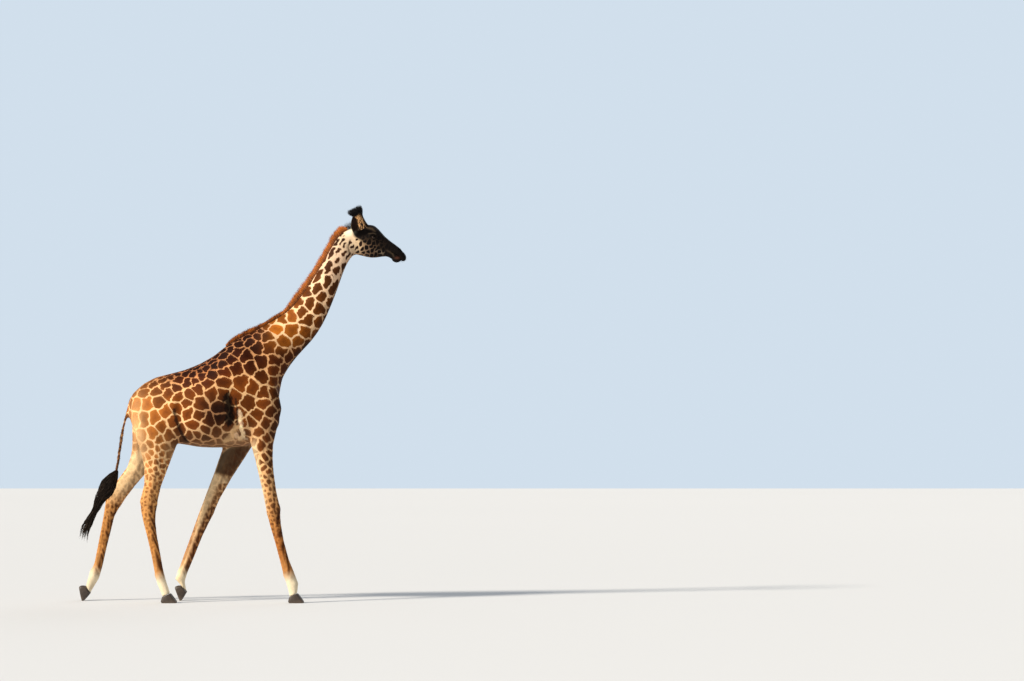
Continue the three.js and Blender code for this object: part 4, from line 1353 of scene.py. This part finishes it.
def coat_density(places):
    """How thickly tufts stand: thickest on face and feet where they are smallest, and none on bare skin."""
    mirrored, flat = on_left(places), in_profile(places)
    head = fade(places[:, 0], 1.10, 0.05) * (places[:, 2] > HEAD_Z)
    ears = fade(along_line(mirrored, [EAR_FOOT, EAR_FOOT + EAR_UP * EAR_LENGTH])[0], 0.05, -0.01)
    feet = fade(places[:, 2], 0.9, -0.5)
    density = 1.0 + 2.4 * head + 0.9 * feet - 1.2 * ears * head + 3.0 * limb_weights(places)[:, TAIL]
    bare = np.linalg.norm(mirrored - EYE_PLACE, axis=1) < BARE_LIDS
    bare |= ridge(flat, NOSTRIL, 0.012) > 0.3
    bare |= ridge(flat, MOUTH, 0.006) > 0.3
    bare |= places[:, 2] < 0.055
    return np.where(bare, 0.0, density)


def lie_of_coat(roots, normals):
    """The way the hair runs at each root, flat on the skin."""
    share = limb_weights(roots)
    lie = np.zeros((len(roots), 3))
    for index, name in enumerate(LIMB_NAMES):
        heading = along_line(roots, LIMBS[name])[2]
        if name == "trunk":
            heading = heading + np.array([0.0, 0.0, -0.55])
        lie += share[:, index : index + 1] * heading
    ear_line = [EAR_FOOT + EAR_UP * 0.02, EAR_FOOT + EAR_UP * EAR_LENGTH]
    ears = fade(along_line(on_left(roots), ear_line)[0], 0.06, -0.02)[:, None]
    sides = np.column_stack([np.ones(len(roots)), np.sign(roots[:, 1]), np.ones(len(roots))])
    lie = lie * (1.0 - ears) + ears * EAR_UP * sides
    swirl = 0.22 * np.sin(roots @ np.array([9.0, 14.0, 11.0])) + rng.normal(0.0, 0.16, len(roots))
    lie = unit(lie - normals * (lie * normals).sum(axis=1, keepdims=True), 1e-9)
    return lie * np.cos(swirl)[:, None] + np.cross(normals, lie) * np.sin(swirl)[:, None]


TUFTS = 236000
COAT_LENGTH, FACE_LENGTH, FOOT_LENGTH = 0.0155, 0.0075, 0.010
roots, stand, marks = sown(hide_mesh, TUFTS, coat_density)
lie = lie_of_coat(roots, stand)
share = limb_weights(roots)
limb_of = share.argmax(axis=1)
on_head = fade(roots[:, 0], 1.08, 0.06) * (roots[:, 2] > HEAD_Z)
low = fade(roots[:, 2], 0.9, -0.6)
tuft_length = COAT_LENGTH + on_head * (FACE_LENGTH - COAT_LENGTH) + low * (FOOT_LENGTH - COAT_LENGTH)
tuft_length *= rng.uniform(0.75, 1.2, len(roots)) * (1.0 + 1.1 * share[:, TAIL])
rising = rng.uniform(0.06, 0.15, len(roots)) + 0.24 * share[:, TAIL]
direction = lie * np.cos(rising)[:, None] + stand * np.sin(rising)[:, None]
settle = -stand * (0.35 * tuft_length * np.sin(rising))[:, None]
coat_cover = coat_material("short_coat", 0.0, 1.0, 0.6)
sunk = roots - stand * 0.0008


def coat_piece(name, chosen, limb):
    """The tufts of one part of her, as one piece."""
    long = tuft_length[chosen]
    built = blades(
        sunk[chosen], direction[chosen], stand[chosen], long, 0.19 * long, 0.05 * long, settle[chosen], 1
    )
    lean = unit(stand[chosen] + rng.normal(0.0, 0.10, (chosen.sum(), 3)) + 0.12 * direction[chosen])
    layers = {key: values[chosen] for key, values in marks.items()}
    piece = tuft_object(name, built, unwrap(roots[chosen], limb), layers, lean)
    piece.data.materials.append(coat_cover)
    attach(piece, "root")


FLANK = -0.36
for index, limb in enumerate(LIMB_NAMES):
    here = limb_of == index
    if limb == "trunk":
        for side, half in (("right", roots[:, 1] < 0), ("left", roots[:, 1] >= 0)):
            coat_piece(f"coat_{limb}_front_{side}", here & half & (roots[:, 0] > FLANK), limb)
            coat_piece(f"coat_{limb}_rear_{side}", here & half & (roots[:, 0] <= FLANK), limb)
    elif limb in ("neck", "head"):
        coat_piece(f"coat_{limb}_right", here & (roots[:, 1] < 0), limb)
        coat_piece(f"coat_{limb}_left", here & (roots[:, 1] >= 0), limb)
    else:
        coat_piece(f"coat_{limb}", here, limb)

# ---------------------------------------------------------------- mane
# A stiff upright brush of rust-coloured hair from the poll to the withers, dark brown in clumps.
# It grows in a narrow band along the crest of the neck, a hand's breadth tall.

# The crest from the poll to the withers: the outer ends of the hair, and points under their roots.
MANE_TOP = np.array([
    (1.060, 3.856), (0.985, 3.834), (0.902, 3.726), (0.836, 3.600), (0.706, 3.370), (0.614, 3.248),
    (0.510, 3.104), (0.434, 2.982), (0.330, 2.918), (0.226, 2.846), (0.110, 2.804), (-0.058, 2.720),
    (-0.160, 2.638),
])
MANE_ROOT = np.array([
    (1.090, 3.780), (1.040, 3.740), (0.965, 3.650), (0.905, 3.550), (0.772, 3.312), (0.676, 3.170),
    (0.560, 3.022), (0.458, 2.900), (0.340, 2.830), (0.236, 2.760), (0.116, 2.716), (-0.050, 2.640),
    (-0.150, 2.560),
])
MANE_HAIRS = 11000
MANE_HALF = 0.021
TUSSOCKS = 90
strand_material, tree, shader = new_material("long_hair")
tint = layer_of(tree, "tint", "Color")
place = node(tree, "ShaderNodeTexCoord")
streak = (node(tree, "ShaderNodeTexNoise", Vector=(place, "Object"), Scale=90.0, Detail=3.0), "Fac")
tone = ranged(tree, streak, (0.3, 0.7), (0.75, 1.2))
shaded = node(tree, "ShaderNodeVectorMath", {0: tint}, operation="SCALE", Scale=tone)
gloss = ranged(tree, streak, (0.0, 1.0), (0.50, 0.70))
fit(tree, shader, Base_Color=(shaded, "Vector"), Roughness=gloss, Specular_IOR_Level=0.10)


def graded(count, shares, stops):
    """Colours along each hair: stops are a share of its length and a colour, one per hair."""
    places = [stop[0] for stop in stops]
    colors = [np.broadcast_to(stop[1], (count, 3)) for stop in stops]
    result = np.empty((count, len(shares), 3))
    for vertex, share in enumerate(shares):
        high = min(max(int(np.searchsorted(places, share)), 1), len(places) - 1)
        mix = np.clip((share - places[high - 1]) / (places[high] - places[high - 1]), 0.0, 1.0)
        result[:, vertex] = colors[high - 1] * (1.0 - mix) + colors[high] * mix
    return result.reshape(-1, 3)


def hair_color(color, spread, count):
    """One colour for each hair, darker or paler than this one by chance."""
    return linear(color) * np.exp(spread * rng.normal(size=(count, 1)))


def hair_piece(name, built, root_uv, stops, normals=None):
    """Long hairs as one piece, with their colours along them."""
    layers = {"tint": graded(len(root_uv), built[2][:built[3]], stops)}
    piece = tuft_object(name, built, root_uv, layers, normals)
    piece.data.materials.append(strand_material)
    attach(piece, "root")


steps = length_of(MANE_TOP)
way = rng.random(MANE_HAIRS) * steps[-1]
sideways = rng.uniform(-1.0, 1.0, MANE_HAIRS)
ends, under = (
    np.column_stack([np.interp(way, steps, line_x), MANE_HALF * sideways, np.interp(way, steps, line_z)])
    for line_x, line_z in (MANE_TOP.T, MANE_ROOT.T)
)
towards = unit(under - ends)
hits = [hide_tree.ray_cast(Vector(end), Vector(way_in), 0.25) for end, way_in in zip(ends, towards)]
found = np.array([hit[0] is not None for hit in hits])
mane_roots = np.array([hit[0] if hit[0] is not None else (0, 0, 0) for hit in hits])[found]
ends, towards, way, sideways = ends[found], towards[found], way[found], sideways[found]
tall = np.linalg.norm(ends - mane_roots, axis=1)
tussock_at = way / steps[-1] * TUSSOCKS + 1.2 * sideways + rng.normal(0.0, 0.7, len(way))
tussock = np.interp(tussock_at, np.arange(TUSSOCKS), rng.normal(0.0, 1.1, TUSSOCKS))
clump = 0.75 * tussock + rng.normal(0.0, 0.55, len(way))
tall *= (1.0 - 0.30 * sideways**2) * rng.uniform(0.72, 1.03, len(way)) * (1.0 + 0.085 * tussock)
tall *= np.clip(0.55 + np.minimum(way, steps[-1] - way) / 0.10, 0.0, 1.0)
outward = -towards + np.column_stack([0.08 * tussock, 0.13 * sideways, -0.06 * tussock])
outward = unit(outward + 0.07 * rng.normal(size=(len(way), 3)))
drift = np.column_stack([-0.004 + 0.004 * rng.normal(size=len(way)), 0.004 * sideways, np.zeros(len(way))])
side_stand = np.column_stack([np.zeros(len(way)), np.where(sideways < 0, -1.0, 1.0), np.zeros(len(way))])
rust = hair_color((164, 90, 28), 0.24, len(way))
umber = hair_color((70, 30, 9), 0.20, len(way))
low_mane = fade(way, 0.75, 0.7)
darker = np.clip(0.50 * clump + 0.55 * low_mane - 0.02, 0.0, 1.0)[:, None]
mane_color = rust * (1.0 - darker) + umber * darker
mane_width = rng.uniform(0.0018, 0.0030, len(way))
built = blades(mane_roots + towards * 0.004, outward, side_stand, tall + 0.004, mane_width, 0.0010, drift, 3)
hair_piece(
    "mane_hair", built, np.column_stack([0.03 + 0.94 * way / steps[-1], 0.5 + 0.4 * sideways]),
    [(0.0, umber * 0.8), (0.5, mane_color * 0.8), (1.0, mane_color * np.array([1.70, 1.70, 1.45]))],
    side_stand * 0.6 + outward * 0.35,
)
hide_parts("mane_upper", "mane_lower")

# ---------------------------------------------------------------- tail tuft
# Long black wiry hair in wavy locks, which swings out behind as she walks and thins to a few wisps.
# It grows from the last hand's breadth of the tail.

# The middle of the tuft from its top to its end, with half its width in the plane of the swing and across it.
TUFT_LINE = np.array([
    (-1.262, 1.335, 0.012, 0.010), (-1.300, 1.275, 0.050, 0.030), (-1.345, 1.200, 0.078, 0.046),
    (-1.382, 1.120, 0.080, 0.048), (-1.443, 1.030, 0.056, 0.040), (-1.490, 0.925, 0.044, 0.036),
    (-1.542, 0.825, 0.046, 0.036), (-1.588, 0.725, 0.062, 0.034), (-1.614, 0.615, 0.074, 0.034),
])
LOCKS = 2100
LOCK_RINGS = 11
WISPS = 11


def tail_locks():
    """Locks that start spread over the tail's end and gather lower down into a few wisps."""
    spread_at = np.linspace(0.0, 1.0, len(TUFT_LINE))
    begin = rng.uniform(0.0, 0.14, LOCKS)
    finish = np.clip(rng.beta(2.0, 1.7, LOCKS) * 1.12, begin + 0.3, 1.0)
    turn = rng.uniform(0.0, 2.0 * math.pi, LOCKS)
    out = np.sqrt(rng.random(LOCKS))
    knot = rng.integers(0, WISPS, LOCKS)
    wisps = rng.uniform(-0.9, 0.9, (WISPS, 2))
    finish = np.minimum(finish, rng.uniform(0.91, 1.02, WISPS)[knot] - 0.09 * rng.random(LOCKS) ** 2)
    wave = rng.uniform(2.0, 4.5, LOCKS)
    phase = rng.uniform(0.0, 6.28, LOCKS)
    rows = []
    for ring in range(LOCK_RINGS + 1):
        at = begin + (finish - begin) * ring / LOCK_RINGS
        middle_x, middle_z, wide, deep = (np.interp(at, spread_at, TUFT_LINE[:, k]) for k in range(4))
        gather = fade(at, 0.42, 0.42)
        lump = 0.86 + 0.14 * np.sin(at * 21.0 + knot) + 0.12 * np.sin(at * 9.0 + 1.3 * knot)
        loose = out * (1.0 - gather + 0.16 * (1.05 - at) * gather)
        a, b = (
            np.clip((loose * trig(turn) + wisps[knot, k] * gather) * lump + 0.12 * sway, -1.0, 1.0)
            for k, trig, sway in (
                (0, np.cos, np.sin(wave * at * 6.28 + phase)), (1, np.sin, np.cos(wave * at * 6.28 + phase))
            )
        )
        rows.append(np.column_stack([middle_x + wide * a * 0.88, deep * b, middle_z - wide * a * 0.47]))
    path = np.stack(rows, axis=1)
    points, shares = [], []
    for ring in range(LOCK_RINGS):
        step = unit(path[:, ring + 1] - path[:, ring])
        across = np.cross(step, [0.0, 1.0, 0.0])
        upright = np.cross(across, step)
        thin = 0.0021 * (1.0 - ring / LOCK_RINGS) ** 0.5 + 0.0004
        for corner in range(3):
            angle = 2.0 * math.pi * corner / 3.0 + phase[:, None]
            points.append(path[:, ring] + thin * (across * np.cos(angle) + upright * np.sin(angle)))
            shares.append(ring / LOCK_RINGS)
    points.append(path[:, -1])
    shares.append(1.0)
    places = np.stack(points, axis=1).reshape(-1, 3)
    built = (places, blade_faces(LOCKS, LOCK_RINGS), np.tile(shares, LOCKS), len(points))
    return built, np.column_stack([0.03 + 0.94 * turn / (2.0 * math.pi), 0.05 + 0.9 * out])


built, lock_uv = tail_locks()
black = hair_color((32, 24, 18), 0.55, LOCKS)
black_stops = [(0.0, black), (0.7, black * 1.3), (1.0, black * 2.2 + 0.004)]
hair_piece("tail_hair", built, lock_uv, black_stops)
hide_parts("tail_tuft")

# ---------------------------------------------------------------- ossicone tufts
# Black brushes over the knobs of the ossicones: upright in front, swept back behind.
# The hairs grow from the knob's own skin.

BRUSH_HAIRS = 900
for ossicone, (side, name) in zip(ossicones, SIDES):
    axis = ossicone_axis(side)
    foot = on_side(OSSICONE_FOOT, side)
    brush_roots, brush_stand, _ = sown(
        ossicone.data, BRUSH_HAIRS, lambda places: (((places - foot) @ axis) > 0.80 * OSSICONE_LENGTH) * 1.0
    )
    front = np.clip(((brush_roots - foot) @ np.array([axis[2], 0.0, -axis[0]]) - 0.005) / 0.033, -1.0, 1.0)
    rear = 0.5 * (1.0 - front)
    brush = np.column_stack([-0.05 - 0.90 * rear, 0.16 * brush_stand[:, 1], 1.0 - 0.56 * rear])
    brush = unit(brush + (0.05 * brush_stand + 0.06 * rng.normal(size=brush.shape)))
    long = (0.088 - 0.105 * rear * (1.0 - rear) - 0.004 * rear) * rng.uniform(0.78, 1.02, BRUSH_HAIRS)
    sag = np.column_stack([-0.006 - 0.006 * rear, np.zeros(BRUSH_HAIRS), -0.004 + 0.010 * rear])
    built = blades(brush_roots - brush_stand * 0.001, brush, brush_stand, long, 0.0026, 0.0012, sag, 4)
    jet = hair_color((20, 17, 18), 0.2, BRUSH_HAIRS)
    jet_stops = [(0.0, jet), (1.0, jet * 1.3 + 0.003)]
    hair_piece("ossicone_brush_" + name, built, unwrap(brush_roots, "head"), jet_stops)
    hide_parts("ossicone_tuft_" + name)

# ---------------------------------------------------------------- ossicone hair
# Short hair up the stalks of the ossicones, lying upward and outward, in the stalk's own markings.

STALK_TUFTS = 5200
STALK_HAIR_Z = 3.80
for ossicone, (side, name) in zip(ossicones, SIDES):
    axis = ossicone_axis(side)
    stalk_roots, stalk_stand, stalk_marks = sown(
        ossicone.data, STALK_TUFTS, lambda places: places[:, 2] > STALK_HAIR_Z
    )
    upward = axis - stalk_stand * (stalk_stand @ axis)[:, None] + 0.12 * rng.normal(size=stalk_roots.shape)
    upward = unit(upward) + 0.16 * stalk_stand
    long = rng.uniform(0.008, 0.014, STALK_TUFTS)
    sunk_roots, sag = stalk_roots - stalk_stand * 0.0006, -stalk_stand * 0.0008
    built = blades(sunk_roots, upward, stalk_stand, long, 0.0022, 0.0006, sag, 1)
    piece = tuft_object(
        "ossicone_coat_" + name, built, unwrap(stalk_roots, "head"), stalk_marks, stalk_stand + 0.1 * upward
    )
    piece.data.materials.append(coat_cover)
    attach(piece, "root")

# ---------------------------------------------------------------- hair of ears, poll, lashes and chin
# Cream hair, tanned by painted shade, fringes the rims of the ears, dark wisps stand on the poll, long lashes
# shade the eyes, and a few stiff bristles stand about the lips and chin.

RIM_HAIRS, POLL_HAIRS, LASHES, BRISTLES = 1500, 420, 74, 130
for side, name in SIDES:
    up, opening, across = ear_axes(side)
    share = rng.uniform(0.10, 0.97, RIM_HAIRS)
    edge_side = np.where(rng.random(RIM_HAIRS) < 0.5, -1.0, 1.0)
    reach = edge_side * (1.0 - rng.uniform(0.0, 0.35, RIM_HAIRS) ** 1.5)
    rim = ear_places(side, share, reach)
    grow = up * 0.75 - across * (0.45 * edge_side)[:, None] + opening * 0.45
    grow = unit(grow + 0.14 * rng.normal(size=rim.shape))
    long = rng.uniform(0.008, 0.018, RIM_HAIRS) * (1.0 - 0.5 * share)
    # Painted shade: the cream rim hair is given a shaded tan.
    pale = hair_color((138, 108, 78), 0.25, RIM_HAIRS)
    built = blades(rim - opening * 0.001, grow, opening, long, 0.0009, 0.0004, -up * 0.0015, 2)
    uv = np.column_stack([0.5 + 0.45 * reach, 0.05 + 0.9 * share])
    hair_piece("ear_fringe_" + name, built, uv, [(0.0, pale * 0.8), (1.0, pale)])

    gaze, along, upright = eye_axes(side)
    centre = on_side(EYE_PLACE, side)
    spread = np.linspace(-0.0165, 0.0175, LASHES) + 0.0004 * rng.normal(size=LASHES)
    spread = np.clip(spread, -0.0178, 0.0178)
    brim = LID_ABOVE * np.sqrt(1.0 - (spread / LID_LONG) ** 2)
    level = np.sqrt((EYE_RADIUS + LID) ** 2 - spread**2 - brim**2)
    lash_roots = centre + spread[:, None] * along + brim[:, None] * upright + level[:, None] * gaze
    lash = gaze * 0.85 - upright * 0.30 + along * (spread / LID_LONG * 0.6)[:, None]
    lash = unit(lash + 0.08 * rng.normal(size=lash_roots.shape))
    long = rng.uniform(0.014, 0.021, LASHES)
    built = blades(lash_roots - gaze * 0.001, lash, upright, long, 0.0008, 0.0006, upright * 0.005, 4)
    dark = linear((14, 10, 9))
    uv = np.column_stack([np.linspace(0.1, 0.9, LASHES), np.full(LASHES, 0.5)])
    hair_piece("lashes_" + name, built, uv, [(0.0, dark), (1.0, dark)])


def chance_near(spots, least):
    """How likely a hair is at a place: falling away round each weighted spot, and none below the least."""
    def chance(places):
        near = sum(weight * bump(places, centre, reach) for weight, centre, reach in spots)
        return np.where(near > least, near, 0.0)

    return chance


poll_roots, poll_stand, _ = sown(hide_mesh, POLL_HAIRS, chance_near([
    (1.0, (1.105, 0.0, 3.825), (0.026, 0.030, 0.035)), (0.5, (1.20, 0.0, 3.84), (0.03, 0.035, 0.03)),
], 0.12))
wisp = unit(0.4 * poll_stand + np.array([-0.60, 0.0, 0.80]) + 0.26 * rng.normal(size=poll_roots.shape))
built = blades(
    poll_roots - poll_stand * 0.001, wisp, np.cross(wisp, [0.0, 1.0, 0.0]) + 1e-4,
    rng.uniform(0.045, 0.092, POLL_HAIRS), 0.0026, 0.0010, np.array([-0.005, 0.0, 0.0]), 3,
)
dusk = hair_color((58, 46, 30), 0.3, POLL_HAIRS)
hair_piece("poll_wisps", built, unwrap(poll_roots, "head"), [(0.0, dusk), (1.0, dusk * 0.7)])

chin_roots, chin_stand, _ = sown(hide_mesh, BRISTLES, chance_near([
    (1.0, (1.60, 0.0, 3.485), (0.035, 0.05, 0.018)), (0.8, (1.66, 0.0, 3.50), (0.02, 0.05, 0.035)),
], 0.2))
bristle = unit(chin_stand + np.array([0.15, 0.0, -0.35]) + 0.2 * rng.normal(size=chin_roots.shape))
built = blades(
    chin_roots - chin_stand * 0.001, bristle, np.cross(bristle, [0.0, 1.0, 0.0]) + 1e-4,
    rng.uniform(0.010, 0.020, BRISTLES), 0.0008, 0.0006, np.array([0.0, 0.0, -0.003]), 3,
)
bristle_stops = [(0.0, linear((20, 15, 13))), (1.0, linear((40, 32, 28)))]
hair_piece("chin_bristles", built, unwrap(chin_roots, "head"), bristle_stops)
